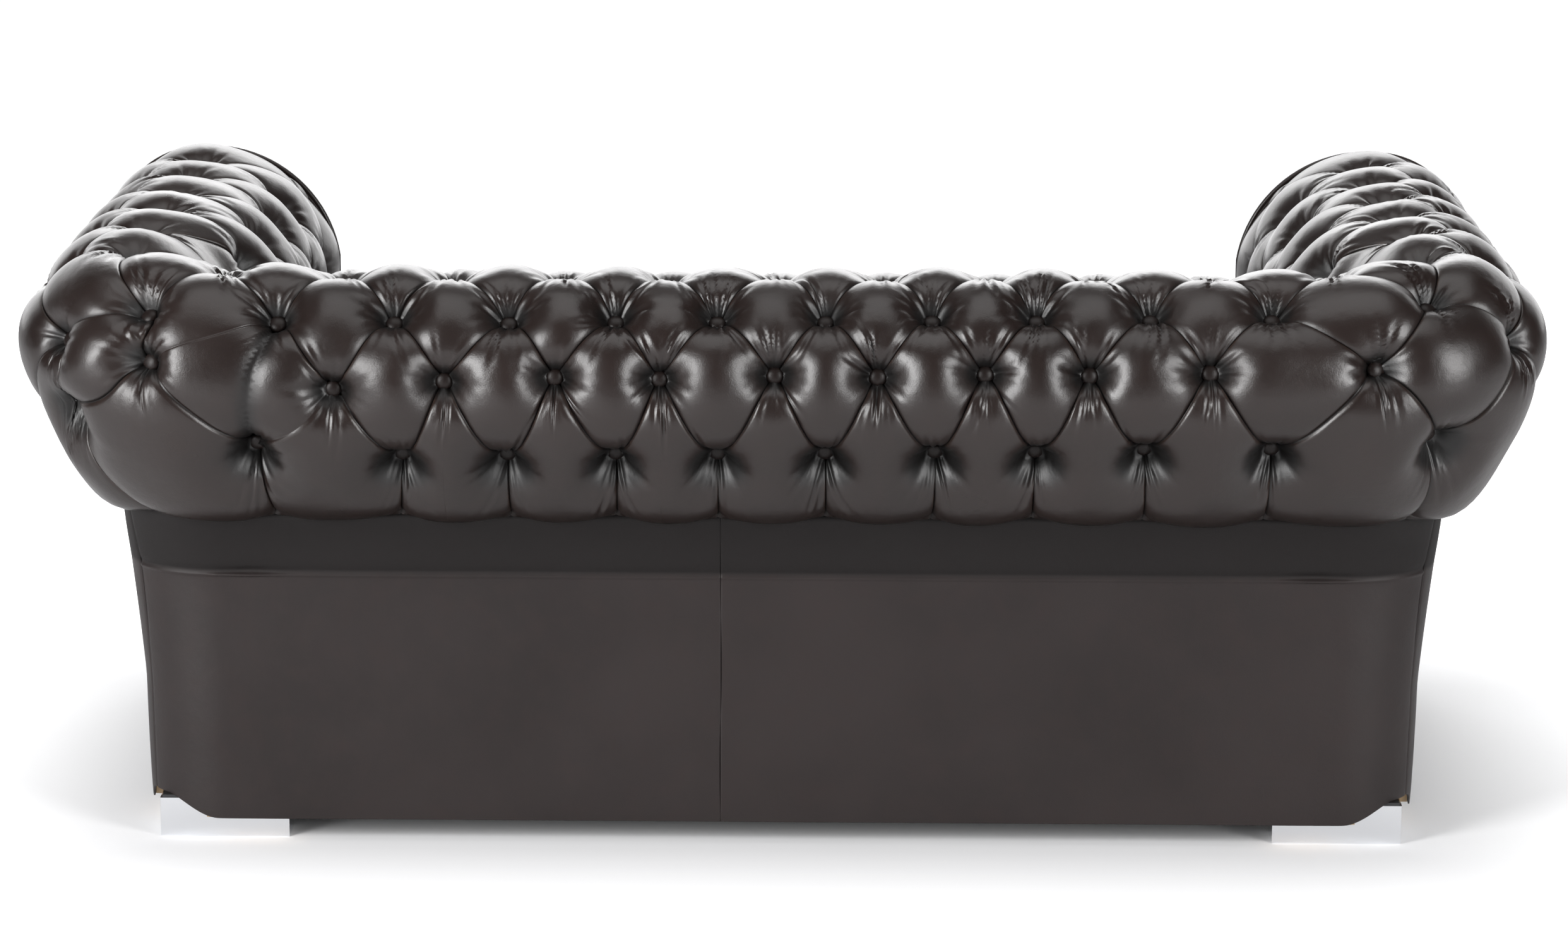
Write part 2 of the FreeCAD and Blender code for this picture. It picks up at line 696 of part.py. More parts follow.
TOP_RAIL_HALF = str(LAST_BACK) + " * (" + ARM_AXIS + " - pivot_reach) / back_pitches + former_board"
board("back_top_rail", "2 * (" + TOP_RAIL_HALF + ")", "batten_width", "batten_height",
      "-(" + TOP_RAIL_HALF + ")", BACK_AXIS + " - batten_inward",
      "arm_height - roll_radius - back_drop + batten_lift")
arm_rail = board("arm_top_rail_left", "batten_width",
                 BACK_AXIS + " - pivot_reach - " + FRONT_BOARD + " - board", "batten_height",
                 ARM_AXIS + " - batten_inward", FRONT_BOARD + " + board",
                 "arm_height - roll_radius + batten_lift")
twin("arm_top_rail_right", arm_rail)
board("back_tack_rail", "2 * (" + ARM_BASE + " - body_corner)", "tack_inner + tack_outer", TACK_HEIGHT,
      "-(" + ARM_BASE + " - body_corner)", BACK_AXIS + " - tack_inner", "fold_height - " + TACK_HEIGHT)
arm_tack = board("arm_tack_rail_left", "tack_inner + tack_outer",
                 BACK_BASE + " - body_corner - " + FRONT_BOARD + " - board", TACK_HEIGHT,
                 ARM_AXIS + " - tack_inner", FRONT_BOARD + " + board", "fold_height - " + TACK_HEIGHT)
twin("arm_tack_rail_right", arm_tack)


def front_board_shape():
    """The scroll-shaped board that closes an arm's frame at the front."""
    height = arm_axis_height
    step = pad_bottom - size("clearance") - height
    bottom = size("base_bottom") - height
    wide = -size("inner_reach") + size("facing_inset")
    fold = size("fold_height") - height
    edge_out = -(size("base_set") + size("leather") + size("clearance"))
    points = [(TACK_CORNER, fold), (neck_out, fold)]
    points = points + core_points(size("clearance"))
    points = points + [(-former_inner, step), (wide, step), (wide, bottom), (edge_out, bottom)]
    points = points + [(edge_out, size("ridge_height") - height), (TACK_CORNER, size("ridge_height") - height)]

    def place(point):
        return Vector(arm_axis + point[0], front_board, height + point[1])

    return plate_between(points, place, Vector(0, size("board"), 0))


front_board_left = shaped("arm_front_board_left", front_board_shape())
twin("arm_front_board_right", front_board_left)


BELLY_OUT = 0.07
BELLY_DOWN = 0.1


def facing_wire(inset, y):
    """Outline of the scroll facing at an arm front, set in from the crown of the roll."""
    height = arm_axis_height
    radius = size("roll_radius") - inset
    inner_out = -size("inner_reach") + inset

    def at(out, up):
        return Vector(arm_axis + out, y, height + up)

    top = at(0, radius)
    shoulder_start = at(inner_out, -0.2 * radius)
    shoulder = at(0.66 * inner_out, 0.69 * radius)
    below = polar(radius, -45)
    neck = (size("flare") - size("base_set") - inset / 2, size("fold_height") - height + inset)
    belly = ((below[0] + neck[0]) / 2 + BELLY_OUT * radius, (below[1] + neck[1]) / 2 - BELLY_DOWN * radius)
    foot_out = (-size("base_set") - inset / 4, size("base_bottom") - height)
    foot_in = (inner_out, size("base_bottom") - height)
    edges = [
        Part.LineSegment(at(*foot_in), shoulder_start).toShape(),
        Part.Arc(shoulder_start, shoulder, top).toShape(),
        Part.Arc(top, at(radius, 0), at(*below)).toShape(),
        Part.Arc(at(*below), at(*belly), at(*neck)).toShape(),
        Part.LineSegment(at(*neck), at(*foot_out)).toShape(),
        Part.LineSegment(at(*foot_out), at(*foot_in)).toShape(),
    ]
    return Part.Wire(edges)


def arm_facing():
    face = Part.Face(facing_wire(size("facing_inset"), front))
    return face.extrude(Vector(0, size("facing_thick"), 0))


def facing_welt():
    """The piping round the facing, a ring that follows its outline."""
    deep = 2 * size("welt_radius")
    ring = Part.Face(facing_wire(size("facing_inset") - deep - size("clearance"), front))
    hole = Part.Face(facing_wire(size("facing_inset") - size("clearance"), front))
    return ring.extrude(Vector(0, deep, 0)).cut(hole.extrude(Vector(0, deep, 0)))


facing_left = shaped("arm_facing_left", arm_facing())
twin("arm_facing_right", facing_left)
welt = facing_welt()
shaped("facing_welts", Part.makeCompound([welt, welt.mirror(Vector(0, 0, 0), Vector(1, 0, 0))]))

# Seat: border, springs with their clips, hessian, deck pad and cover, dust cover

board("front_border", "2 * (" + ARM_AXIS + " - inner_reach - clearance)", "border",
      COVER_LOW + " - base_bottom", "-(" + ARM_AXIS + " - inner_reach - clearance)",
      FRONT_RAIL + " - border - clearance", "base_bottom")
board("seat_hessian", "2 * (" + DECK_HALF + ")", DECK_BACK + " - " + FRONT_RAIL, "hessian",
      "-(" + DECK_HALF + ")", FRONT_RAIL, HESSIAN_LOW)
board("deck_pad", "2 * (" + DECK_HALF + ")", DECK_BACK + " - " + FRONT_RAIL, "deck_pad",
      "-(" + DECK_HALF + ")", FRONT_RAIL, DECK_LOW)
board("deck_cover", "2 * (" + DECK_HALF + ")", DECK_BACK + " - " + FRONT_RAIL, "leather / 2",
      "-(" + DECK_HALF + ")", FRONT_RAIL, COVER_LOW)

spring_height = size("seat_rail_top") + size("clearance") + size("spring_wire") / 2
spring_first = front_rail + size("board") / 2
spring_last = back_axis - former_inner - size("seat_rail_width") / 2
spring_step = (2 * (arm_axis - former_inner - size("seat_rail_width")) / size("spring_count"))


def spring_columns():
    count = int(size("spring_count"))
    return [(number - (count - 1) / 2) * spring_step for number in range(count)]


def zigzag_spring(x):
    """One flat spring: straight cross runs joined by half turns."""
    bends = int(size("spring_bends"))
    bend_radius = (spring_last - spring_first) / bends / 2
    half = size("spring_leg") / 2
    edges = []
    for number in range(bends + 1):
        hand = 1 if number % 2 == 0 else -1
        y = spring_first + 2 * bend_radius * number
        run_start = Vector(x - hand * half, y, spring_height)
        run_end = Vector(x + hand * half, y, spring_height)
        edges.append(Part.LineSegment(run_start, run_end).toShape())
        if number == bends:
            continue
        crest = Vector(x + hand * (half + bend_radius), y + bend_radius, spring_height)
        next_start = Vector(x + hand * half, y + 2 * bend_radius, spring_height)
        edges.append(Part.Arc(run_end, crest, next_start).toShape())
    path = Part.Wire(edges)
    circle = Part.makeCircle(size("spring_wire") / 2, Vector(x - half, spring_first, spring_height),
                             Vector(1, 0, 0))
    return path.makePipeShell([Part.Wire([circle])], True, False)


def spring_clip(x, y):
    """A bridge over a spring's end run, standing on the rail."""
    low = size("seat_rail_top")
    wire = size("spring_wire")
    height = clip_height
    length = size("clip_length")
    width = size("clip_width")
    block = Part.makeBox(length, width, height, Vector(x - length / 2, y - width / 2, low))
    slot = wire + size("clearance")
    channel = Part.makeBox(length, slot, height - size("clip_wall"), Vector(x - length / 2, y - slot / 2, low))
    return block.cut(channel)


master_spring = zigzag_spring(0.0)
springs = []
clips = []
for column in spring_columns():
    springs.append(master_spring.translated(Vector(column, 0, 0)))
    clips.append(spring_clip(column, spring_first))
    clips.append(spring_clip(column, spring_last))
shaped("seat_springs", Part.makeCompound(springs))
shaped("spring_clips", Part.makeCompound(clips))


def dust_cover_shape():
    """Thin cloth under the rails, cut out round the feet."""
    half = side_rail_inner + size("board")
    rear = rear_rail_inner + size("board")
    cloth = Part.makeBox(2 * half, rear - front_rail, size("dust_cover"),
                         Vector(-half, front_rail, size("base_bottom") - size("dust_cover")))
    room = size("foot_size") + 2 * size("clearance")
    for side in (1, -1):
        low_x = side_rail_inner - room if side > 0 else -side_rail_inner
        for end in (REAR, FRONT):
            low_y = foot_corner[end] + (size("clearance") - room if end == REAR else -size("clearance"))
            hole = Part.makeBox(room, room, size("base_bottom"), Vector(low_x, low_y, 0))
            cloth = cloth.cut(hole)
    corner = Part.makeBox(4 * size("body_corner"), 4 * size("body_corner"), size("base_bottom"))
    for side in (1, -1):
        low_x = corner_x if side > 0 else -corner_x - 4 * size("body_corner")
        cloth = cloth.cut(corner.translated(Vector(low_x, corner_y, 0)))
    return cloth


shaped("dust_cover", dust_cover_shape())

# Feet, their plates and screws, and the corner blocks


def origin_plane(body, role):
    for feature in body.Origin.OriginFeatures:
        if feature.Role == role:
            return feature
    raise RuntimeError("no origin plane " + role)


def new_sketch(body, name, height_formula=None):
    sketch = body.newObject("Sketcher::SketchObject", name)
    sketch.AttachmentSupport = [(origin_plane(body, "XY_Plane"), "")]
    sketch.MapMode = "FlatFace"
    if height_formula:
        sketch.setExpression("AttachmentOffset.Base.z", bound(height_formula))
    return sketch


# Where a sketch's lines stand before their constraints place them

START_LINE = 1
START_SIDE = 8


def rectangle(sketch, low_x, low_y, high_x, high_y):
    """A rectangle whose four sides are formulas, measured from the sketch's origin."""
    first = sketch.GeometryCount
    low = START_LINE
    high = START_LINE + START_SIDE
    corners = (Vector(low, low, 0), Vector(high, low, 0), Vector(high, high, 0), Vector(low, high, 0))
    for start, end in zip(corners, corners[1:] + corners[:1]):
        sketch.addGeometry(Part.LineSegment(start, end), False)
    for number in range(4):
        following = first + (number + 1) % 4
        sketch.addConstraint(Sketcher.Constraint("Coincident", first + number, 2, following, 1))
    for number in (0, 2):
        sketch.addConstraint(Sketcher.Constraint("Horizontal", first + number))
    for number in (1, 3):
        sketch.addConstraint(Sketcher.Constraint("Vertical", first + number))
    for kind, line, formula in (("DistanceX", 3, low_x), ("DistanceY", 0, low_y),
                                ("DistanceX", 1, high_x), ("DistanceY", 2, high_y)):
        index = sketch.addConstraint(Sketcher.Constraint(kind, -1, 1, first + line, 1, START_SIDE))
        sketch.setExpression("Constraints[%d]" % index, bound(formula))


def round_hole(sketch, x, y, radius):
    """A circle whose centre and radius are formulas."""
    middle = Vector(START_SIDE, START_SIDE, 0)
    circle = sketch.addGeometry(Part.Circle(middle, Vector(0, 0, 1), START_LINE), False)
    for kind, formula in (("DistanceX", x), ("DistanceY", y)):
        index = sketch.addConstraint(Sketcher.Constraint(kind, -1, 1, circle, 3, START_SIDE))
        sketch.setExpression("Constraints[%d]" % index, bound(formula))
    index = sketch.addConstraint(Sketcher.Constraint("Radius", circle, START_LINE))
    sketch.setExpression("Constraints[%d]" % index, bound(radius))


def pad(body, sketch, length):
    feature = body.newObject("PartDesign::Pad", sketch.Name + "_pad")
    feature.Profile = sketch
    feature.setExpression("Length", bound(length))
    return feature


def pocket(body, sketch, length):
    """A cut from the sketch's plane upwards."""
    feature = body.newObject("PartDesign::Pocket", sketch.Name + "_pocket")
    feature.Profile = sketch
    feature.Reversed = True
    feature.setExpression("Length", bound(length))
    return feature


def outer_edge(shape):
    """Name of the upright edge on the body's own Z axis."""
    for number, edge in enumerate(shape.Edges, start=1):
        ends = [vertex.Point for vertex in edge.Vertexes]
        if all(abs(point.x) < 0.001 and abs(point.y) < 0.001 for point in ends):
            return "Edge%d" % number
    raise RuntimeError("no upright edge on the axis")


def rounded_outer_edge(body, feature, radius):
    document.recompute()
    fillet = body.newObject("PartDesign::Fillet", feature.Name + "_round")
    fillet.Base = (feature, [outer_edge(feature.Shape)])
    fillet.setExpression("Radius", bound(radius))
    return fillet


FOOT_X = {REAR: ARM_AXIS + " - " + RAIL_OUT + " - clearance", FRONT: ARM_AXIS + " - " + RAIL_OUT + " - clearance"}
FOOT_Y = {REAR: BACK_BASE + " - foot_rear_set", FRONT: FRONT_RAIL + " + board + clearance"}
BLOCK_X = ARM_AXIS + " - " + RAIL_OUT
BLOCK_Y = {REAR: BACK_AXIS + " - " + RAIL_OUT, FRONT: FRONT_RAIL + " + board"}


def square(sketch, end, near, far):
    """A square in the foot's own frame, from 'near' to 'far' behind its outer corner."""
    if end == REAR:
        rectangle(sketch, "-(" + far + ")", "-(" + far + ")", "-(" + near + ")", "-(" + near + ")")
    else:
        rectangle(sketch, "-(" + far + ")", near, "-(" + near + ")", far)


def placed(body, x, y, z):
    body.setExpression("Placement.Base.x", bound(x))
    body.setExpression("Placement.Base.y", bound(y))
    body.setExpression("Placement.Base.z", bound(z))


def foot(end):
    """A hollow L-shaped foot of bent sheet with a closed bottom."""
    body = document.addObject("PartDesign::Body", "foot_%s_left" % end)
    body.Label = "foot_%s_left" % end
    outline = new_sketch(body, "foot_outline_" + end)
    square(outline, end, "0", "foot_size")
    block = pad(body, outline, "foot_height")
    rounded_outer_edge(body, block, "foot_bend")
    notch = new_sketch(body, "foot_notch_" + end)
    square(notch, end, "foot_leg", "foot_size + foot_wall")
    pocket(body, notch, "foot_height + foot_wall")
    for name, near, far, other_near, other_far in (
            ("long", "foot_wall", "foot_size - foot_wall", "foot_wall", "foot_leg - foot_wall"),
            ("cross", "foot_wall", "foot_leg - foot_wall", "foot_wall", "foot_size - foot_wall")):
        channel = new_sketch(body, "foot_channel_%s_%s" % (name, end), "foot_wall")
        if end == REAR:
            rectangle(channel, "-(" + far + ")", "-(" + other_far + ")", "-(" + near + ")",
                      "-(" + other_near + ")")
        else:
            rectangle(channel, "-(" + far + ")", other_near, "-(" + near + ")", other_far)
        pocket(body, channel, "foot_height")
    placed(body, FOOT_X[end], FOOT_Y[end], "0")
    return body


SCREW_SPOTS = (("screw_near", "screw_near"), ("screw_near", "screw_far"),
               ("screw_far", "screw_near"), ("screw_far", "screw_far"))


def screw_holes(sketch, end, shift_x, shift_y):
    """The four screw holes behind a foot, in a frame whose corner is shifted from the foot's."""
    for along_x, along_y in SCREW_SPOTS:
        x = "-(" + along_x + ") + " + shift_x
        y = "-(" + along_y + ") + " + shift_y if end == REAR else along_y + " + " + shift_y
        round_hole(sketch, x, y, "screw_radius + screw_fit")


def foot_plate(end):
    """The square steel plate that lies on a foot and carries its screws."""
    body = document.addObject("PartDesign::Body", "foot_plate_%s" % end)
    outline = new_sketch(body, "plate_outline_" + end)
    square(outline, end, "foot_wall", "foot_size - foot_wall")
    pad(body, outline, "plate")
    holes = new_sketch(body, "plate_holes_" + end)
    screw_holes(holes, end, "0", "0")
    pocket(body, holes, "plate")
    placed(body, FOOT_X[end], FOOT_Y[end], "foot_height")
    return body


def corner_block(end):
    """The block between the rails that takes the foot screws. The rear one is rounded as the leather is."""
    body = document.addObject("PartDesign::Body", "corner_block_%s_left" % end)
    body.Label = "corner_block_%s_left" % end
    outline = new_sketch(body, "block_outline_" + end)
    square(outline, end, "0", "block_size")
    block = pad(body, outline, "block_height")
    if end == REAR:
        rounded_outer_edge(body, block, "body_corner - leather - clearance - board")
    holes = new_sketch(body, "block_holes_" + end)
    shift_y = "(" + FOOT_Y[end] + ") - (" + BLOCK_Y[end] + ")"
    screw_holes(holes, end, "(" + FOOT_X[end] + ") - (" + BLOCK_X + ")", shift_y)
    pocket(body, holes, "screw_length")
    placed(body, BLOCK_X, BLOCK_Y[end], "foot_height + plate")
    return body


def screw(x, y):
    """A pan-head screw driven up through the plate into the block."""
    low = size("foot_height")
    shank = Part.makeCylinder(size("screw_radius"), size("plate") + size("screw_length") - size("leather"),
                              Vector(x, y, low))
    head = Part.makeCone(0.7 * size("screw_head"), size("screw_head"), size("plate"),
                         Vector(x, y, low - size("plate")))
    return shank.fuse(head).removeSplitter()


screws = []
for end in (REAR, FRONT):
    left_foot = foot(end)
    twin("foot_%s_right" % end, left_foot)
    left_block = corner_block(end)
    twin("corner_block_%s_right" % end, left_block)
    behind = -1 if end == REAR else 1
    for along_x, along_y in SCREW_SPOTS:
        x = side_rail_inner - size("clearance") - size(along_x)
        y = foot_corner[end] + behind * size(along_y)
        screws.append(screw(x, y))
        screws.append(screw(-x, y))
shaped("foot_screws", Part.makeCompound(screws))

plates = [foot_plate(REAR), foot_plate(FRONT)]
plates = plates + [twin(plate.Name + "_right_side", plate) for plate in plates]
plate_group = document.addObject("Part::Compound", "foot_plates")
plate_group.Label = "foot_plates"
plate_group.Links = plates

# Loose seat cushions: cover, core and piping


def rounded_rectangle(half_x, half_y, corner, waist, centre, z):
    """Straight or drawn-in sides with rounded corners, as a closed wire."""
    edges = []
    slant = corner * (1 - math.sqrt(0.5))
    for turn in range(4):
        hand_x = 1 if turn in (0, 3) else -1
        hand_y = 1 if turn in (0, 1) else -1
        corner_points = [
            Vector(centre.x + hand_x * half_x, centre.y + hand_y * (half_y - corner), z),
            Vector(centre.x + hand_x * (half_x - slant), centre.y + hand_y * (half_y - slant), z),
            Vector(centre.x + hand_x * (half_x - corner), centre.y + hand_y * half_y, z),
        ]
        if turn in (1, 3):
            corner_points.reverse()
        edges.append(corner_points)
    runs = []
    for number, points in enumerate(edges):
        following = edges[(number + 1) % 4][0]
        runs.append(Part.Arc(*points).toShape())
        if waist == 0:
            runs.append(Part.LineSegment(points[2], following).toShape())
            continue
        middle = (points[2] + following) * 0.5
        inward = Vector(centre.x, centre.y, z) - middle
        inward.normalize()
        runs.append(Part.Arc(points[2], middle + inward * waist, following).toShape())
    return Part.Wire(runs)


seat_half = arm_axis - size("inner_reach")
seat_back = back_axis - size("inner_reach")
cushion_half_x = (seat_half - 1.5 * size("cushion_gap")) / 2
cushion_half_y = (seat_back - size("cushion_gap") - front - size("cushion_front")) / 2
cushion_centre = Vector(size("cushion_gap") / 2 + cushion_half_x,
                        front + size("cushion_front") + cushion_half_y, 0)
cover_set = 2 * size("piping_radius") + size("clearance")


def cushion_form(shrink):
    """Crowned, drawn-in solid of a cushion. shrink sets every face in.

    A level is a height, an inset as a share of the half depth, and how far the sides draw in.
    """
    low = cushion_low + shrink
    lower_seam = cushion_low + size("cushion_edge")
    upper_seam = lower_seam + size("cushion_boxing")
    edge_top = upper_seam + size("cushion_edge") - shrink
    crown = size("cushion_crown")
    levels = (
        (low, 0.035, 0),
        (lower_seam, 0, 0),
        ((lower_seam + upper_seam) / 2, 0, size("cushion_waist")),
        (upper_seam, 0, 0),
        (edge_top, 0.09, 0),
        (edge_top + 0.7 * crown, 0.31, 0),
        (edge_top + crown, 0.59, 0),
    )
    wires = []
    for z, inset_share, waist in levels:
        set_in = cover_set + shrink + inset_share * cushion_half_y
        wires.append(rounded_rectangle(cushion_half_x - set_in, cushion_half_y - set_in,
                                       size("cushion_corner"), waist, cushion_centre, z))
    return lofted(wires)


def cushion_piping():
    """One closed cord at each seam."""
    rings = []
    set_in = size("piping_radius")
    radius = size("cushion_corner") + cover_set - set_in
    for z in (size("cushion_edge"), size("cushion_edge") + size("cushion_boxing")):
        path = rounded_rectangle(cushion_half_x - set_in, cushion_half_y - set_in, radius, 0,
                                 cushion_centre, cushion_low + z)
        start = path.Edges[1].Vertexes[0].Point
        along = path.Edges[1].Vertexes[1].Point - start
        circle = Part.makeCircle(size("piping_radius"), start, along)
        rings.append(Part.Wire(path.Edges[1:] + path.Edges[:1]).makePipeShell([Part.Wire([circle])], True, False))
    return Part.makeCompound(rings)


cover_shell = cushion_form(0.0).cut(cushion_form(size("cushion_cover")))
for part_name, form in (("cover", cover_shell),
                        ("core", cushion_form(size("cushion_cover") + size("clearance"))),
                        ("piping", cushion_piping())):
    left_part = shaped("seat_cushion_%s_left" % part_name, form)
    twin("seat_cushion_%s_right" % part_name, left_part)

# Check every object, then write one file for each sub-part

NODES = (
    "tufted_back", "tufted_arm_left", "tufted_arm_right",
    "buttons_back_outer", "buttons_back_inner", "buttons_arm_left", "buttons_arm_right",
    "outside_back_left", "outside_back_right", "outside_arm_left", "outside_arm_right",
    "corner_liner_left", "corner_liner_right",
    "rear_bottom_rail", "front_bottom_rail", "side_bottom_rail_left", "side_bottom_rail_right",
    "rear_seat_rail", "side_seat_rail_left", "side_seat_rail_right", "centre_stretcher",
    "corner_block_rear_left", "corner_block_rear_right", "corner_block_front_left",
    "corner_block_front_right",
    "back_formers", "corner_former_left", "corner_former_right", "arm_formers_left", "arm_formers_right",
    "arm_front_board_left", "arm_front_board_right",
    "back_top_rail", "arm_top_rail_left", "arm_top_rail_right",
    "back_tack_rail", "arm_tack_rail_left", "arm_tack_rail_right",
    "arm_facing_left", "arm_facing_right", "facing_welts", "front_border",
    "seat_springs", "spring_clips", "seat_hessian", "deck_pad", "deck_cover", "dust_cover",
    "foot_rear_left", "foot_rear_right", "foot_front_left", "foot_front_right", "foot_plates", "foot_screws",
    "seat_cushion_cover_left", "seat_cushion_cover_right", "seat_cushion_core_left",
    "seat_cushion_core_right", "seat_cushion_piping_left", "seat_cushion_piping_right",
)

document.recompute()
for thing in document.Objects:
    if "Invalid" in thing.State or "Error" in thing.State:
        sys.exit("failed: " + thing.Label)
by_label = {thing.Label: thing for thing in document.Objects}
os.makedirs("parts", exist_ok=True)
for name in NODES:
    shape = by_label[name].Shape
    if shape.isNull() or not shape.isValid() or not shape.Solids:
        sys.exit("not a valid solid: " + name)
for name in NODES:
    shape = by_label[name].Shape
    shape.exportStep("parts/%s.step" % name)
    print(name, len(shape.Solids), round(shape.Volume / 1000, 1), "cm3", shape.BoundBox)
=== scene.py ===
"""Looks of a chesterfield sofa in dark brown leather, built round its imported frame.

Metres throughout. +X is the sitter's left, the seat faces -Y, +Z is up. The photograph shows the rear.
"""

import math

import bmesh
import bpy
import numpy as np
from bpy.props import FloatProperty, FloatVectorProperty, IntProperty, PointerProperty
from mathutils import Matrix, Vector


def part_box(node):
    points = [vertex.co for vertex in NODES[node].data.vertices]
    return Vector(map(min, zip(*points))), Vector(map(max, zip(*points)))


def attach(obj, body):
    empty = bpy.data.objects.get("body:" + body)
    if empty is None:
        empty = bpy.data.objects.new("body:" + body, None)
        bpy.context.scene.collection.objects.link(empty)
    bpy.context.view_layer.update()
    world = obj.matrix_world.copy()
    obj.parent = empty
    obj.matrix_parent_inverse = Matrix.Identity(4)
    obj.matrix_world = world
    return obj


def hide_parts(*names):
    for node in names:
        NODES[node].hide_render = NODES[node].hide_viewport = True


bl_info = {
    "name": "Chesterfield sofa looks",
    "version": (1, 0, 0),
    "blender": (4, 5, 0),
    "location": "3D View > Sidebar > Sofa",
    "description": "Buttoned leather, cushions, feet and studio round the sofa's frame",
    "category": "Object",
}

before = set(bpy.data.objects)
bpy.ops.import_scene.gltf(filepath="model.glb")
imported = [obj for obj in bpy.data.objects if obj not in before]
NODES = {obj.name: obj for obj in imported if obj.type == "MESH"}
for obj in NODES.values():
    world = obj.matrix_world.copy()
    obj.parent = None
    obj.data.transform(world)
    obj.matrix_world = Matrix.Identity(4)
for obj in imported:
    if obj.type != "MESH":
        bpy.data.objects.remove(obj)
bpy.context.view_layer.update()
SIDES = {"left": 1, "right": -1}

# Lattice of the buttoning. A station counts button pitches along the roll from the middle of the back,
# negative on the right. A row counts from the fold under the roll, over it and down to the seat.

BACK_END = 4.0
CORNER_START = 4.5
CORNER_END = 7.0
MITRE = 5.75
ROLL_END = 11.5
ROW_C, ROW_B, ROW_A, ROW_D, ROW_E, ROW_F, ROW_G = 0.5, 1.0, 1.5, 2.0, 2.5, 3.0, 3.5
ROW_LOW, ROW_BOTTOM = 4.0, 4.5
LAST_BUTTON = 11.0


class BUTTONING_PG_sizes(bpy.types.PropertyGroup):
    """Sizes of the buttoned roll."""

    roll_radius: FloatProperty(
        name="Roll radius", description="Roll axis to the crown", default=0.121, unit="LENGTH")
    inner_reach: FloatProperty(
        name="Inner reach", description="Roll axis to the seat side", default=0.171, unit="LENGTH")
    pivot_reach: FloatProperty(
        name="Pivot reach", description="Roll axis to the corner's pivot", default=0.181, unit="LENGTH")
    roll_corner: FloatProperty(
        name="Roll corner", description="Plan radius of the roll's axis", default=0.085, unit="LENGTH")
    belly_reach: FloatProperty(
        name="Belly reach", description="Roll axis to the hanging belly", default=0.134, unit="LENGTH")
    arm_axis: FloatProperty(
        name="Arm axis", description="Middle of the sofa to the arm roll's axis", default=0.749, unit="LENGTH")
    back_axis: FloatProperty(
        name="Back axis", description="Middle of the sofa to the back roll's axis", default=0.319, unit="LENGTH")
    arm_height: FloatProperty(
        name="Arm axis height", description="Floor to the arm roll's axis", default=0.580, unit="LENGTH")
    back_drop: FloatProperty(
        name="Back drop", description="How much lower the back roll is", default=0.022, unit="LENGTH")
    fold_height: FloatProperty(
        name="Fold height", description="Floor to the fold under the roll", default=0.4024, unit="LENGTH")
    fold_lip: FloatProperty(
        name="Fold lip", description="Roll axis out to the fold's lip", default=0.023, unit="LENGTH")
    pad_bottom: FloatProperty(
        name="Pad bottom", description="Floor to the lower edge of the padding", default=0.2742, unit="LENGTH")
    front: FloatProperty(
        name="Front", description="Front end of the arm padding", default=-0.4246, unit="LENGTH")
    well_depth: FloatProperty(
        name="Well depth", description="Button below the crown", default=0.0395, unit="LENGTH")
    belly_well: FloatProperty(
        name="Belly well", description="Extra depth of the lowest outside row", default=0.0120, unit="LENGTH")
    well_width: FloatProperty(
        name="Well width", description="How far a button draws the leather in", default=0.0185, unit="LENGTH")
    pillow: FloatProperty(
        name="Pillow", description="Rounding of a diamond towards its pleats", default=0.0058, unit="LENGTH")
    puff: FloatProperty(
        name="Puff", description="Swell of a diamond over the crown line", default=0.0030, unit="LENGTH")
    crease: FloatProperty(
        name="Pleat depth", description="Depth of a pleat half-way between buttons", default=0.0042,
        unit="LENGTH")
    crease_end: FloatProperty(
        name="Pleat depth at a button", description="Depth of a pleat at its ends", default=0.0085,
        unit="LENGTH")
    wrinkle: FloatProperty(
        name="Wrinkle", description="Height of the creases round a button", default=0.0040, unit="LENGTH")
    button_radius: FloatProperty(
        name="Button radius", description="Radius of a covered button", default=0.0102, unit="LENGTH")
    button_dome: FloatProperty(
        name="Button dome", description="Height of its dome", default=0.0055, unit="LENGTH")
    seed: IntProperty(name="Seed", description="Pattern of the wrinkles", default=7, min=1)


class COLOURS_PG_sofa(bpy.types.PropertyGroup):
    """Colours that a user would change."""

    leather: FloatVectorProperty(
        name="Leather", description="Buttoned leather", subtype="COLOR", size=3, default=(0.0120, 0.0074, 0.0064))
    plain_leather: FloatVectorProperty(
        name="Plain leather", description="Outside leather of the base", subtype="COLOR", size=3,
        default=(0.0185, 0.0142, 0.0138))
    worn: FloatVectorProperty(
        name="Worn leather", description="Rubbed edges of the pleats", subtype="COLOR", size=3,
        default=(0.036, 0.020, 0.013))
    pine: FloatVectorProperty(
        name="Pine", description="Rails and blocks", subtype="COLOR", size=3, default=(0.62, 0.43, 0.24))
    plywood: FloatVectorProperty(
        name="Plywood", description="Formers and boards", subtype="COLOR", size=3, default=(0.60, 0.45, 0.28))
    floor: FloatVectorProperty(
        name="Floor", description="Studio floor", subtype="COLOR", size=3, default=(0.90, 0.90, 0.91))


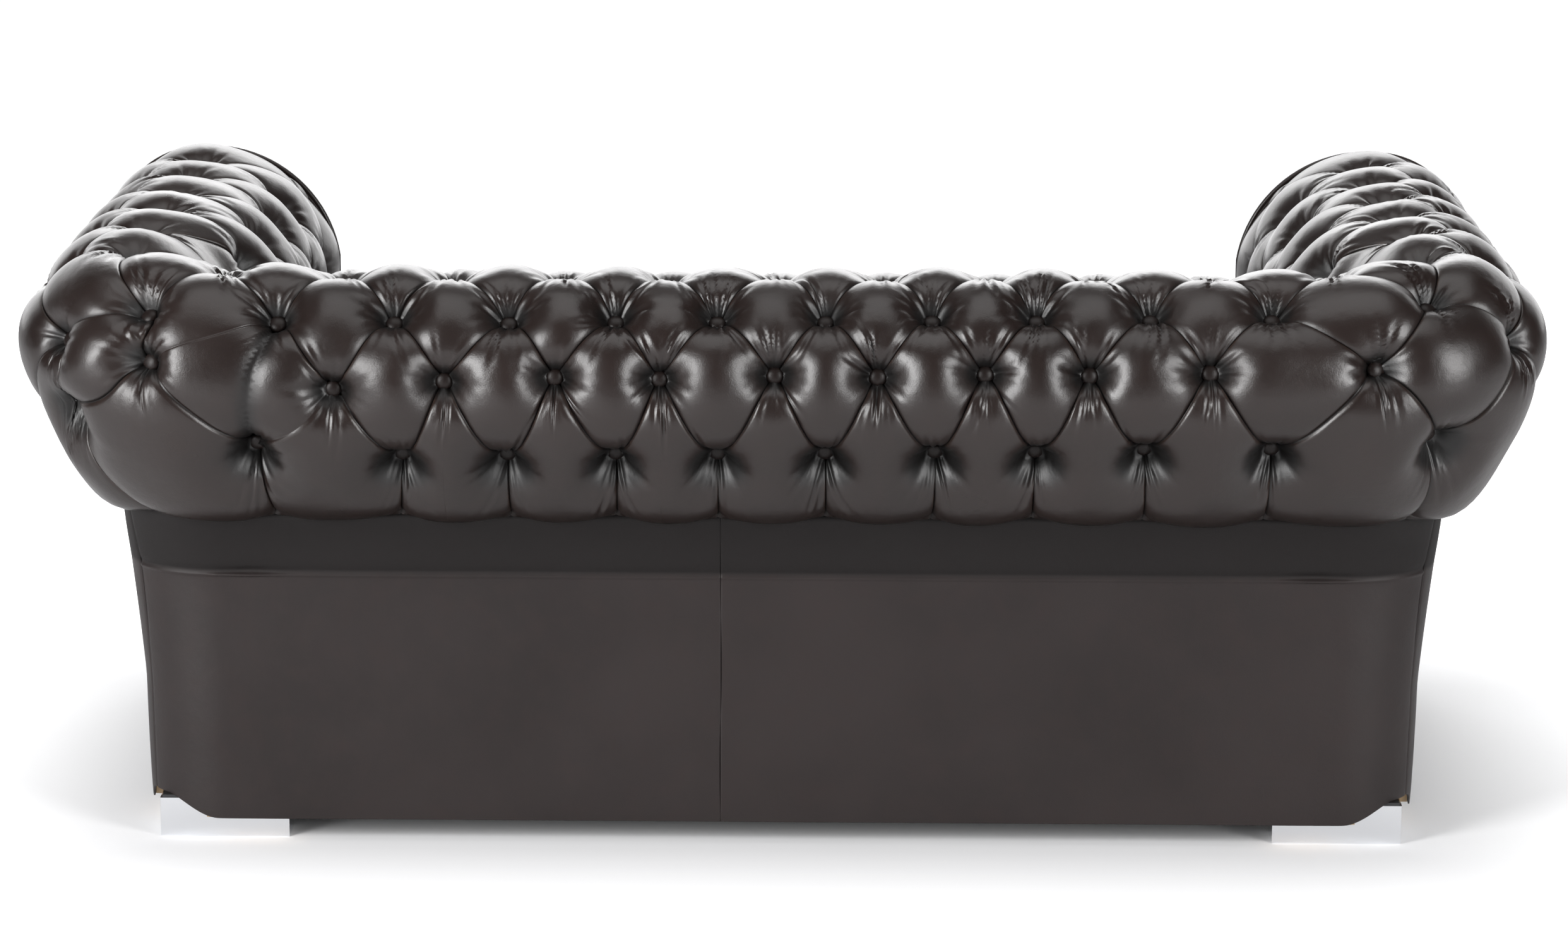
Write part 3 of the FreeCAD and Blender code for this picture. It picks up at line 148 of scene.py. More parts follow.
class STAGE_PG_sofa(bpy.types.PropertyGroup):
    """Camera and light of the studio."""

    camera_distance: FloatProperty(
        name="Camera distance", description="Camera behind the sofa's middle", default=5.548, unit="LENGTH")
    camera_height: FloatProperty(
        name="Camera height", description="Camera above the floor", default=1.638, unit="LENGTH")
    camera_pitch: FloatProperty(
        name="Camera pitch", description="Downward tilt", default=math.radians(12.8), subtype="ANGLE")
    camera_roll: FloatProperty(
        name="Camera roll", description="Turn about the view axis", default=math.radians(0.25),
        subtype="ANGLE")
    camera_turn: FloatProperty(
        name="Camera turn", description="Camera's way round the sofa from straight behind",
        default=math.radians(-0.5), subtype="ANGLE")
    lens: FloatProperty(name="Lens", description="Focal length in millimetres", default=108.4)
    key: FloatProperty(name="Key light", description="Power of the large soft box on the left", default=215.0)
    fill: FloatProperty(name="Fill light", description="Power of the large soft box on the right", default=140.0)
    overhead: FloatProperty(name="Overhead light", description="Power of the ceiling box", default=42.0)
    front: FloatProperty(name="Front light", description="Power of the box before the seat", default=45.0)
    mirrored: FloatProperty(
        name="Mirrored", description="Strength of the surroundings in reflections", default=0.06)
    ambient: FloatProperty(name="Ambient", description="Strength of the white surroundings", default=0.18)


def sizes():
    return bpy.context.scene.buttoning_sizes


def colours():
    return bpy.context.scene.sofa_colours


# Small mesh helpers


def mesh_object(name, vertices, faces, smooth=True):
    mesh = bpy.data.meshes.new(name)
    mesh.from_pydata([tuple(v) for v in vertices], [], [tuple(f) for f in faces])
    mesh.update()
    if smooth:
        mesh.polygons.foreach_set("use_smooth", [True] * len(mesh.polygons))
    obj = bpy.data.objects.new(name, mesh)
    bpy.context.scene.collection.objects.link(obj)
    return obj


def grid_faces(rows, columns, start=0, closed=False):
    """Quads between the points of a grid that is stored row by row."""
    faces = []
    for row in range(rows - 1):
        for column in range(columns if closed else columns - 1):
            a = start + row * columns + column
            b = start + row * columns + (column + 1) % columns
            faces.append((a, b, b + columns, a + columns))
    return faces


def clean(obj, merge=0.00002):
    """Merge doubles and turn the faces outwards."""
    form = bmesh.new()
    form.from_mesh(obj.data)
    bmesh.ops.remove_doubles(form, verts=form.verts, dist=merge)
    bmesh.ops.recalc_face_normals(form, faces=form.faces)
    form.to_mesh(obj.data)
    form.free()
    obj.data.update()


def split_big_faces(obj):
    """Triangulate the faces with more than four corners, then clean the mesh."""
    form = bmesh.new()
    form.from_mesh(obj.data)
    bmesh.ops.triangulate(form, faces=[face for face in form.faces if len(face.verts) > 4])
    form.to_mesh(obj.data)
    form.free()
    clean(obj)


def evaluated_mesh(obj):
    """A plain mesh of an object with its modifiers."""
    bpy.context.view_layer.update()
    return bpy.data.meshes.new_from_object(obj.evaluated_get(bpy.context.evaluated_depsgraph_get()))


def closed_sheet(name, outer, inner):
    """A closed body between two grids of points, each as rows by columns by three."""
    rows, columns = outer.shape[:2]
    count = rows * columns
    points = np.concatenate([outer.reshape(-1, 3), inner.reshape(-1, 3)])
    faces = grid_faces(rows, columns)
    faces += [tuple(reversed(face)) for face in grid_faces(rows, columns, count)]
    ring = [column for column in range(columns)]
    ring += [row * columns + columns - 1 for row in range(1, rows)]
    ring += [(rows - 1) * columns + column for column in range(columns - 2, -1, -1)]
    ring += [row * columns for row in range(rows - 2, 0, -1)]
    for here, there in zip(ring, ring[1:] + ring[:1]):
        faces.append((here, here + count, there + count, there))
    obj = mesh_object(name, points, faces)
    clean(obj)
    return obj


def finish_piece(obj, body, material, nodes=()):
    """Give a piece its material and body, and hide the nodes that it stands for."""
    obj.data.materials.clear()
    obj.data.materials.append(material)
    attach(obj, body)
    if nodes:
        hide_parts(*nodes)
    return obj


# Materials


class Finish:
    """Short calls for building a node material."""

    def __init__(self, name):
        name = "look_" + name
        found = bpy.data.materials.get(name)
        self.fresh = found is None
        self.material = found or bpy.data.materials.new(name)
        if not self.fresh:
            return
        self.material.use_nodes = True
        self.tree = self.material.node_tree
        self.shader = self.tree.nodes["Principled BSDF"]
        place = self.tree.nodes.new("ShaderNodeTexCoord")
        self.place = place.outputs["Object"]

    def node(self, kind, **settings):
        made = self.tree.nodes.new(kind)
        for key, value in settings.items():
            setattr(made, key, value)
        return made

    def link(self, source, target):
        self.tree.links.new(source, target)

    def set(self, **values):
        for key, value in values.items():
            self.shader.inputs[key.replace("_", " ")].default_value = value

    def scaled(self, scale):
        mapping = self.node("ShaderNodeMapping")
        mapping.inputs["Scale"].default_value = scale
        self.link(self.place, mapping.inputs["Vector"])
        return mapping.outputs["Vector"]

    def noise(self, scale, detail=3.0, roughness=0.5, stretch=None):
        made = self.node("ShaderNodeTexNoise")
        made.inputs["Scale"].default_value = scale
        made.inputs["Detail"].default_value = detail
        made.inputs["Roughness"].default_value = roughness
        self.link(self.scaled(stretch) if stretch else self.place, made.inputs["Vector"])
        return made.outputs["Fac"]

    def cells(self, scale):
        made = self.node("ShaderNodeTexVoronoi")
        made.inputs["Scale"].default_value = scale
        self.link(self.place, made.inputs["Vector"])
        return made.outputs["Distance"]

    def spread(self, value, low, high, to_low=0.0, to_high=1.0):
        made = self.node("ShaderNodeMapRange")
        made.inputs["From Min"].default_value = low
        made.inputs["From Max"].default_value = high
        made.inputs["To Min"].default_value = to_low
        made.inputs["To Max"].default_value = to_high
        self.link(value, made.inputs["Value"])
        return made.outputs["Result"]

    def math(self, operation, first, second):
        made = self.node("ShaderNodeMath", operation=operation)
        for socket, value in zip(made.inputs, (first, second)):
            if isinstance(value, (int, float)):
                socket.default_value = value
            else:
                self.link(value, socket)
        return made.outputs[0]

    def mix(self, share, first, second):
        made = self.node("ShaderNodeMix", data_type="RGBA")
        self.link(share, made.inputs["Factor"])
        for socket, value in ((made.inputs["A"], first), (made.inputs["B"], second)):
            if isinstance(value, bpy.types.NodeSocket):
                self.link(value, socket)
            else:
                socket.default_value = (*value, 1.0)
        return made.outputs["Result"]

    def bump(self, height, distance, strength=1.0, below=None):
        made = self.node("ShaderNodeBump")
        made.inputs["Distance"].default_value = distance
        made.inputs["Strength"].default_value = strength
        self.link(height, made.inputs["Height"])
        if below is not None:
            self.link(below, made.inputs["Normal"])
        return made.outputs["Normal"]


def toned(colour, share):
    return tuple(min(1.0, channel * share) for channel in colour)


def leather_material(name, colour, rough_low, rough_high, shine, worn=None, painted_shade_height=None):
    """Smooth finished hide: fine grain, small pores, drifting colour and gloss. Above the height given for
    it, the colour is darkened as painted shade for the roll that hangs over it."""
    skin = Finish(name)
    if not skin.fresh:
        return skin.material
    drift = skin.spread(skin.noise(5.0, 4.0), 0.35, 0.65)
    base = skin.mix(drift, toned(colour, 0.86), toned(colour, 1.14))
    mottle = skin.spread(skin.noise(38.0, 3.0), 0.45, 0.75, 0.0, 0.35)
    base = skin.mix(mottle, base, toned((colour[0] * 1.12, colour[1], colour[2] * 0.96), 1.1))
    if worn:
        rubbed = skin.node("ShaderNodeAttribute", attribute_name="worn")
        patchy = skin.math("MULTIPLY", rubbed.outputs["Fac"], skin.spread(skin.noise(160.0, 3.0), 0.38, 0.62))
        base = skin.mix(patchy, base, worn)
    gloss = skin.spread(skin.noise(9.0, 3.0), 0.3, 0.7, rough_low, rough_high)
    if painted_shade_height:
        # Painted shade: the colour darkens above the given height, under the roll's overhang.
        parts = skin.node("ShaderNodeSeparateXYZ")
        skin.link(skin.place, parts.inputs[0])
        above = skin.spread(parts.outputs["Z"], painted_shade_height, painted_shade_height + 0.006)
        base = skin.mix(above, base, toned(colour, 0.35))
        gloss = skin.math("ADD", gloss, skin.math("MULTIPLY", above, 0.15))
    # Painted shade: the hollow attribute darkens the colour nearly to black in button wells and pleats.
    if worn:
        hollow = skin.node("ShaderNodeAttribute", attribute_name="hollow").outputs["Fac"]
        base = skin.mix(hollow, base, toned(colour, 0.12))
        gloss = skin.math("ADD", gloss, skin.math("MULTIPLY", hollow, 0.10))
    skin.link(base, skin.shader.inputs["Base Color"])
    skin.link(gloss, skin.shader.inputs["Roughness"])
    grain = skin.math("ADD", skin.math("MULTIPLY", skin.cells(520.0), 0.6), skin.noise(900.0, 2.0))
    pores = skin.spread(skin.cells(1300.0), 0.0, 0.35)
    fine = skin.math("ADD", grain, skin.math("MULTIPLY", pores, 0.5))
    broad = skin.noise(26.0, 3.0)
    normal = skin.bump(broad, 0.0014, 0.5)
    normal = skin.bump(skin.noise(75.0, 2.0), 0.0005, 0.5, normal)
    normal = skin.bump(fine, 0.00012, 0.6, normal)
    skin.link(normal, skin.shader.inputs["Normal"])
    skin.set(Specular_IOR_Level=shine)
    return skin.material


def buttoned_leather():
    return leather_material("buttoned_leather", colours().leather, 0.27, 0.37, 0.52, colours().worn)


def plain_leather():
    # Painted shade darkens the colour above the rail's ridge, under the roll's overhang.
    return leather_material(
        "plain_leather", colours().plain_leather, 0.46, 0.54, 0.24, painted_shade_height=BASE["ridge"] - 0.001)


def piping_leather():
    return leather_material("piping_leather", toned(colours().leather, 1.1), 0.30, 0.38, 0.45)


# The roll as a surface: a station and a row give a point, and a depth sets it in from the crown


def ease(value):
    value = np.clip(value, 0.0, 1.0)
    return value * value * (3 - 2 * value)


def axis_height(station):
    s = sizes()
    climb = ease((np.abs(station) - BACK_END) / (CORNER_END - BACK_END))
    return s.arm_height - s.back_drop * (1 - climb)


def plan_point(station, out):
    """Place seen from above. Left and right halves mirror each other."""
    s = sizes()
    side = np.where(station < 0, -1.0, 1.0)
    far = np.abs(station)
    pivot_x = s.arm_axis - s.pivot_reach
    pivot_y = s.back_axis - s.pivot_reach
    back_pitch = pivot_x / 4.667
    arm_pitch = (pivot_y - s.front) / 4.623
    last = BACK_END * back_pitch
    share = (far - BACK_END) / (CORNER_START - BACK_END)
    x = np.where(far <= BACK_END, far * back_pitch, last + share * (pivot_x - last))
    y = s.back_axis + out
    angle = np.radians(90 * np.clip((far - CORNER_START) / (CORNER_END - CORNER_START), 0, 1))
    cos, sin = np.cos(angle), np.sin(angle)
    straight = (out + s.pivot_reach) / np.maximum(cos, sin)
    to_centre = s.pivot_reach - s.roll_corner
    radius = s.roll_corner + out
    inside = np.maximum(radius ** 2 - (to_centre * (cos - sin)) ** 2, 0.0)
    rounded = to_centre * (cos + sin) + np.sqrt(inside)
    reach = np.where((radius <= 0) | (straight * np.minimum(cos, sin) <= to_centre), straight, rounded)
    turning = (far > CORNER_START) & (far < CORNER_END)
    x = np.where(turning, pivot_x + reach * sin, x)
    y = np.where(turning, pivot_y + reach * cos, y)
    x = np.where(far >= CORNER_END, s.arm_axis + out, x)
    y = np.where(far >= CORNER_END, pivot_y - (far - CORNER_END) * arm_pitch, y)
    return side * x, y


def section_knots(height, sag):
    """Crown points of the rows in the section, with the way each faces in degrees."""
    s = sizes()
    radius = s.roll_radius
    level = np.ones_like(height)

    def ring(reach, degrees):
        return reach * math.cos(math.radians(degrees)) * level, reach * math.sin(math.radians(degrees)) * level

    return [
        ((s.fold_lip * level, s.fold_height - sag - height), -74),
        (ring(s.belly_reach, -49), -30),
        ((radius * level, 0.19 * radius * level), 11),
        (ring(radius, 53), 53),
        (ring(radius, 97), 97),
        ((-0.75 * s.inner_reach * level, 0.58 * radius * level), 140),
        ((-s.inner_reach * level, -0.25 * radius * level), 180),
        ((-s.inner_reach * level, -0.87 * radius * level), 180),
        ((-(s.inner_reach - 0.005) * level, -1.57 * radius * level), 180),
        ((-(s.inner_reach - 0.010) * level, s.pad_bottom - height), 180),
    ]


def section_point(row, height, sag):
    """Point of the crown line in the section and its outward direction."""
    knots = section_knots(height, sag)
    place = np.clip(row, 0.0, ROW_BOTTOM) * 2
    index = np.minimum(place.astype(int), len(knots) - 2)
    t = place - index
    out = np.zeros_like(t)
    up = np.zeros_like(t)
    run_out = np.zeros_like(t)
    run_up = np.zeros_like(t)
    for number in range(len(knots) - 1):
        (x0, z0), face0 = knots[number]
        (x1, z1), face1 = knots[number + 1]
        chord = np.hypot(x1 - x0, z1 - z0)
        here = index == number
        if not here.any():
            continue
        a0, a1 = math.radians(face0 + 90), math.radians(face1 + 90)
        h00, h10 = 2 * t ** 3 - 3 * t ** 2 + 1, t ** 3 - 2 * t ** 2 + t
        h01, h11 = -2 * t ** 3 + 3 * t ** 2, t ** 3 - t ** 2
        d00, d10 = 6 * t ** 2 - 6 * t, 3 * t ** 2 - 4 * t + 1
        d01, d11 = -6 * t ** 2 + 6 * t, 3 * t ** 2 - 2 * t
        cos0, sin0, cos1, sin1 = math.cos(a0), math.sin(a0), math.cos(a1), math.sin(a1)
        out = np.where(here, h00 * x0 + h10 * chord * cos0 + h01 * x1 + h11 * chord * cos1, out)
        up = np.where(here, h00 * z0 + h10 * chord * sin0 + h01 * z1 + h11 * chord * sin1, up)
        run_out = np.where(here, d00 * x0 + d10 * chord * cos0 + d01 * x1 + d11 * chord * cos1, run_out)
        run_up = np.where(here, d00 * z0 + d10 * chord * sin0 + d01 * z1 + d11 * chord * sin1, run_up)
    length = np.hypot(run_out, run_up)
    return out, up, run_up / length, -run_out / length


# How far the buttons of the real sofa stray from even spacing, in metres towards the left of the sofa,
# at half stations from 4.5 on the right to 4.5 on the left

STRAY_STATIONS = np.arange(-10, 11) / 2
STRAY = np.array([0, 15, 8, 18, 22, 19, 17, 13, 14, 12, 7, 11, 14, 4, 6, 2, 11, 3, 14, 8, 0]) * 0.001
ROW_TILT = 0.0022
BACK_PITCH = 0.1217
ROW_SPAN = 0.2


# Buttons of the left rear corner that sit off the lattice: station, row, and the shift of both
CORNER_STRAY = (
    (5.0, 1.0, 0.25, 0.08), (5.5, 1.5, -0.15, -0.02), (5.5, 0.5, 0.34, 0.20), (6.0, 1.0, -0.10, 0.12),
    (4.5, 0.5, 0.08, 0.09), (4.5, 1.5, -0.10, 0.0), (4.0, 1.0, -0.05, -0.06),
)
CORNER_SPREAD = 0.36


def corner_stray(station, row):
    along, across = np.zeros_like(station), np.zeros_like(station)
    for place, level, shift_along, shift_across in CORNER_STRAY:
        near = np.exp(-((station - place) ** 2 + (row - level) ** 2) / CORNER_SPREAD ** 2)
        along, across = along + shift_along * near, across + shift_across * near
    return along, across * ease(row / 0.4)


def strayed(station, row):
    """Station and row moved as the hand-set buttons are."""
    corner_along, corner_across = corner_stray(station, row)
    along = np.interp(station, STRAY_STATIONS, STRAY) / BACK_PITCH
    outside = 1 - ease((row - 1.6) / 0.9)
    wave = 0.018 * np.sin(2.3 * station + 4.1 * row) + 0.012 * np.sin(5.1 * station - 2.7 * row + 1.0)
    calm = ease((np.abs(station) - 0.2) / 2) * (1 - ease((np.abs(station) - 10.0) / 1.0))
    lift = -ROW_TILT * np.clip(station, -6, 6) / ROW_SPAN * ease(row / 0.5) * outside
    upward = 0.010 * np.sin(3.3 * station + 1.7) * ease(row / 0.5) * (1 - ease((row - 3.6) / 0.6))
    return station + along * outside + wave * calm + corner_along, row + lift + upward + corner_across


def fold_sag(station):
    """The fold hangs lower between two upright pleats than at them."""
    share = np.abs(station + 0.5 - np.round(station + 0.5)) * 2
    return 0.0040 + 0.0050 * np.sqrt(np.clip(1 - (1 - share) ** 2, 0, 1)) + 0.0012 * np.sin(2.9 * station)


def roll_point(station, row, depth):
    """Point of the leather in space."""
    moved_station, moved_row = strayed(station, row)
    height = axis_height(moved_station)
    sag = fold_sag(station) * (1 - ease(row / 0.5))
    out, up, normal_out, normal_up = section_point(moved_row, height, sag)
    x, y = plan_point(moved_station, out - depth * normal_out)
    return np.stack([x, y, height + up - depth * normal_up], axis=-1)


STEP = 0.002


def roll_frame(station, row):
    """Crown point with the runs along station and row, and their lengths."""
    none = np.zeros_like(station)
    point = roll_point(station, row, none)
    along = (roll_point(station + STEP, row, none) - point) / STEP
    across = (roll_point(station, row + STEP, none) - point) / STEP
    along_length = np.maximum(np.linalg.norm(along, axis=-1), 1e-4)
    across_length = np.maximum(np.linalg.norm(across, axis=-1), 1e-4)
    return point, along / along_length[:, None], across / across_length[:, None], along_length, across_length


def valley(station, row):
    """1 in the inner corner, where the pleats of back and arm meet."""
    far = np.abs(station)
    wide = ease((far - 4.0) / 0.5) * (1 - ease((far - 7.0) / 0.5))
    return wide * ease((row - 2.0) / 0.5)


def has_button(station, row):
    far = abs(station)
    if row >= ROW_E and CORNER_START <= far <= CORNER_END:
        return False
    return far <= LAST_BUTTON + 0.01 and ROW_C <= row <= ROW_G


SEAT = 0.0105
TOP_WELL = 0.72


class Well:
    """One button's pull on the leather, with the wrinkles round it."""

    def __init__(self, station, row):
        s = sizes()
        point, along, across, _, _ = roll_frame(np.array([float(station)]), np.array([float(row)]))
        self.point, self.along, self.across = point[0], along[0], across[0]
        self.depth = s.well_depth - s.pillow - s.crease_end
        self.width = s.well_width
        self.low = row == ROW_C
        if self.low:
            self.depth += s.belly_well
            self.width *= 1.25
        if row == ROW_D:
            self.depth *= TOP_WELL
        seed = s.seed * 100003 + int(round(station * 2)) * 97 + int(round(row * 2)) * 7919
        chance = np.random.default_rng(abs(seed))
        self.wrinkles = []
        for middle, spread, count, width, length, height in (
                (90, 27, 7, 0.0014, 0.064, 1.0), (270, 27, 7, 0.0014, 0.064, 1.0),
                (0, 50, 6, 0.0024, 0.044, 0.9), (180, 50, 6, 0.0024, 0.044, 0.9)):
            for number in range(count):
                slot_share = (number + 0.5) / count * 2 - 1
                angle = middle + spread * slot_share + chance.uniform(-4, 4)
                self.wrinkles.append((
                    math.radians(angle),
                    width * chance.uniform(0.75, 1.5),
                    length * chance.uniform(0.5, 1.45),
                    s.wrinkle * height * chance.uniform(0.35, 1.25),
                    chance.uniform(-0.25, 0.25)))

    def pull(self, points):
        """Depth from the button's pull and height from its wrinkles, with the distance."""
        away = points - self.point
        distance = np.linalg.norm(away, axis=-1)
        fade = 1 - ease((distance - 0.05) / 0.045)
        bowl = self.depth * np.exp(-(np.maximum(distance - SEAT, 0) / self.width) ** 1.2) * fade
        x = away @ self.along
        z = away @ self.across
        flat = np.maximum(np.hypot(x, z), 1e-6)
        angle = np.arctan2(z, x)
        relief = np.zeros_like(distance)
        for toward, width, length, height, bend in self.wrinkles:
            turn = (angle - toward - bend * flat / 0.05 + math.pi) % (2 * math.pi) - math.pi
            ahead = flat * np.cos(turn)
            aside = flat * np.sin(turn) / (width * (0.8 + 0.5 * ahead / 0.03))
            reach = ease((ahead - 0.006) / 0.008) * (1 - ease((ahead - 0.25 * length) / (0.75 * length)))
            shape = 0.55 * np.exp(-(np.abs(aside) - 1.7) ** 2) - np.exp(-aside ** 2)
            relief = relief + np.where(ahead > 0, height * reach * shape, 0.0)
        return bowl, relief, distance


def spacing(half_steps=19):
    """Steps over a diamond's edge, fine at both ends where the pleats are."""
    growth = np.array([0.5 + 4.3 * (k / half_steps) ** 1.1 for k in range(half_steps)])
    half = np.concatenate([[0.0], np.cumsum(growth)])
    half = half / half[-1] / 2
    return np.concatenate([half, 1 - half[-2::-1]])


def pillow_share(distance):
    """0 at a pleat, 1 in the middle between two."""
    return (1 - (1 - np.clip(distance, 0, 1)) ** 2) ** 0.85


class Cell:
    """A field between pleats: the points of a diamond, or of a belly that ends at a straight edge."""

    def __init__(self, station, row, pleats, wells, rows, columns):
        self.station, self.row = station, row
        self.pleats, self.wells = pleats, wells
        self.rows, self.columns = rows, columns


def over_side(kind, line, piece):
    """Which side of a pleat laps over the other: 1 is the side with the higher count."""
    mixed = (line * 7 + piece * 13 + (3 if kind == "p" else 0)) % 5
    preferred = -1 if kind == "p" else 1
    return preferred if mixed else -preferred


def leather_points(cell):
    """Points of a cell's leather in space, how worn they are and their painted shade in wells and pleats."""
    s = sizes()
    station, row = cell.station, cell.row
    point, along, across, along_length, across_length = roll_frame(station, row)
    crowd = np.clip(along_length / 0.11, 0.12, 1.0)
    slope = np.sqrt(1 / along_length ** 2 + 1 / across_length ** 2)
    wells = [well.pull(point) for well in cell.wells]
    nearest = np.full(station.shape, 0.2)
    bowl = np.zeros_like(station)
    relief = np.zeros_like(station)
    for one_bowl, one_relief, distance in wells:
        bowl = bowl + one_bowl
        relief = relief + one_relief
        nearest = np.minimum(nearest, distance)
    crease_depth = s.crease + (s.crease_end - s.crease) * np.exp(-nearest / 0.022)
    share = np.ones_like(station)
    crease = np.zeros_like(station)
    lap = np.zeros_like(point)
    worn = np.zeros_like(station)
    for kind, line, side, over, active in cell.pleats:
        if kind == "u":
            gap = np.abs(station - line)
            away = gap * along_length * (0.42 if active is upright else 1.0)
            toward = along * (-side)
        else:
            value = station + row if kind == "p" else station - row
            gap = np.abs(value - line)
            away = gap / slope
            turn = 1 if kind == "p" else -1
            toward = -side * (along / along_length[:, None] + turn * across / across_length[:, None])
            toward = toward / np.linalg.norm(toward, axis=-1)[:, None]
        reach = active(station, row)
        share = share * (1 - np.minimum(reach, 1) * (1 - pillow_share(gap * 2)))
        if over:
            profile = np.exp(-away / 0.0016)
            push = 0.0021 * (away / 0.0015) * np.exp(1 - away / 0.0015) * crowd * reach
            lap = lap + toward * push[:, None]
            worn = np.maximum(worn, np.exp(-((away - 0.0015) / 0.0014) ** 2) * reach)
        else:
            profile = 0.72 * np.exp(-away / 0.0036) + 0.28 * np.exp(-away / 0.011)
        crease = np.maximum(crease, profile * reach)
    deep = valley(station, row)
    soft = 0.0011 * np.sin(41 * point[:, 0] + 17 * point[:, 2]) * np.sin(37 * point[:, 1] + 23 * point[:, 2])
    depth = (s.pillow * (1 - share) - s.puff * share) * crowd + crease_depth * crease * crowd
    depth = depth + bowl - relief * share ** 0.3 * crowd + soft * share
    depth = depth * (1 - deep) + (s.well_depth * 0.9 + 0.3 * depth) * deep
    worn = worn * (0.25 + 0.75 * np.exp(-nearest / 0.03))
    # Mask of painted shade: deep in a button's well and at the bottom of a pleat.
    hollow = np.maximum(ease((bowl - 0.009) / 0.011), 0.85 * ease((crease - 0.35) / 0.5))
    return roll_point(station, row, depth) + lap, worn, hollow * (1 - deep)


def always(station, row):
    return np.ones_like(station)


def faint(station, row):
    return np.full_like(station, 0.22)


def upright(station, row):
    return np.full_like(station, 1.5)


def strength(kind, line, piece):
    """In the left rear corner two slanted pleats give way to an upright one."""
    return faint if kind == "p" and line in (5, 6) and piece == 3 else always


class Lattice:
    """All cells of the roll with the wells between them."""

    def __init__(self):
        self.wells = {}
        self.steps = spacing()
        self.cells = []
        for high in range(-12, 16):
            for low in range(-16, 13):
                middle = (high + low + 1) / 2
                row = (high - low) / 2
                if ROW_B <= row <= ROW_F and abs(middle) <= ROLL_END + 0.5:
                    self.cells.append((middle, self.diamond(high, low)))
        for middle in range(-12, 13):
            for hand in (-1, 1):
                self.cells.append((middle + 0.25 * hand, self.belly(middle, hand, True)))
                self.cells.append((middle + 0.25 * hand, self.belly(middle, hand, False)))

    def well(self, station, row):
        if not has_button(station, row):
            return []
        key = (station, row)
        if key not in self.wells:
            self.wells[key] = Well(station, row)
        return [self.wells[key]]

    def corner_wells(self, corners):
        return [well for corner in corners for well in self.well(*corner)]

    def diamond(self, high, low):
        """The diamond with station + row from high to high + 1 and station - row from low to low + 1."""
        first, second = np.meshgrid(high + self.steps, low + self.steps, indexing="ij")
        station = ((first + second) / 2).ravel()
        row = ((first - second) / 2).ravel()
        pleats = [
            ("p", high, 1, over_side("p", high, low) > 0, strength("p", high, low)),
            ("p", high + 1, -1, over_side("p", high + 1, low) < 0, strength("p", high + 1, low)),
            ("q", low, 1, over_side("q", low, high) > 0, always),
            ("q", low + 1, -1, over_side("q", low + 1, high) < 0, always),
        ]
        if (high, low) == (5, 3):
            pleats.append(("u", (high + low + 1) / 2, 1, False, upright))
        corners = [((high + a + low + b) / 2, (high + a - low - b) / 2) for a in (0, 1) for b in (0, 1)]
        return Cell(station, row, pleats, self.corner_wells(corners), len(self.steps), len(self.steps))

    def belly(self, middle, hand, outside):
        """Half of the field that hangs from the button at a whole station down to the fold or the seat."""
        across = self.steps
        down = np.linspace(0, 1, 25) ** 1.25 if outside else np.linspace(0, 1, 15) ** 1.3
        turned, fall = np.meshgrid(across, down, indexing="ij")
        station = middle + hand * (1 - turned) / 2
        top = ROW_C + turned / 2
        row = top * (1 - fall) if outside else 4.0 - (top + (-0.5 - top) * fall)
        station, row = station.ravel(), row.ravel()
        if outside:
            slanted = [("q", middle - 1, 1), ("p", middle + 1, -1)]
            uprights_on = below_row_c
            corner_row, apex_row = ROW_C, ROW_B
        else:
            slanted = [("p", middle + 3, 1), ("q", middle - 3, -1)]
            uprights_on = below_row_g
            corner_row, apex_row = ROW_G, ROW_F
        pleats = []
        for kind, line, side in slanted:
            piece = self.piece_of(kind, line, middle, outside)
            pleats.append((kind, line, side, over_side(kind, line, piece) == side, strength(kind, line, piece)))
        pleats.append(("u", middle - 0.5, 1, True, uprights_on))
        pleats.append(("u", middle + 0.5, -1, False, uprights_on))
        corners = [(middle - 0.5, corner_row), (middle + 0.5, corner_row), (float(middle), apex_row)]
        return Cell(station, row, pleats, self.corner_wells(corners), len(across), len(down))

    @staticmethod
    def piece_of(kind, line, middle, outside):
        """The number of the pleat's stretch, as its diamond counts it."""
        if outside:
            return middle - 1 if kind == "p" else middle
        return middle - 4 if kind == "p" else middle + 3


def below_row_c(station, row):
    return ease((ROW_C + 0.03 - row) / 0.06)


def below_row_g(station, row):
    return ease((row - ROW_G + 0.03) / 0.06)


def roll_mesh(name, cells):
    """Join cells to one mesh, turn the fold under and close the back of the padding."""
    keys, points, worn, hollow, faces = [], [], [], [], []
    start = 0
    for cell in cells:
        place, rubbed, hollow_shade = leather_points(cell)
        keys.append(np.stack([np.round(cell.station, 5), np.round(cell.row, 5)], axis=-1))
        points.append(place)
        worn.append(rubbed)
        hollow.append(hollow_shade)
        numbers = np.arange(cell.rows * cell.columns).reshape(cell.rows, cell.columns) + start
        quads = np.stack([numbers[:-1, :-1], numbers[1:, :-1], numbers[1:, 1:], numbers[:-1, 1:]], axis=-1)
        faces.append(quads.reshape(-1, 4))
        start += cell.rows * cell.columns
    keys, points = np.concatenate(keys), np.concatenate(points)
    worn, hollow, faces = np.concatenate(worn), np.concatenate(hollow), np.concatenate(faces)
    unique, where = np.unique(keys, axis=0, return_inverse=True)
    where = where.ravel()
    count = np.bincount(where).astype(float)
    merged = np.stack([np.bincount(where, points[:, axis]) / count for axis in range(3)], axis=-1)
    # hollow carries the painted shade of the wells and pleats.
    marks = {"worn": np.bincount(where, worn) / count, "hollow": np.bincount(where, hollow) / count}
    merged, faces = with_back(unique, merged, where[faces])
    obj = mesh_object(name, merged.tolist(), faces.tolist())
    for mark, values in marks.items():
        whole = np.zeros(len(merged), dtype=np.float32)
        whole[:len(values)] = values
        obj.data.attributes.new(mark, "FLOAT", "POINT").data.foreach_set("value", whole)
    obj.data.update()
    trim_roll(obj)
    return obj


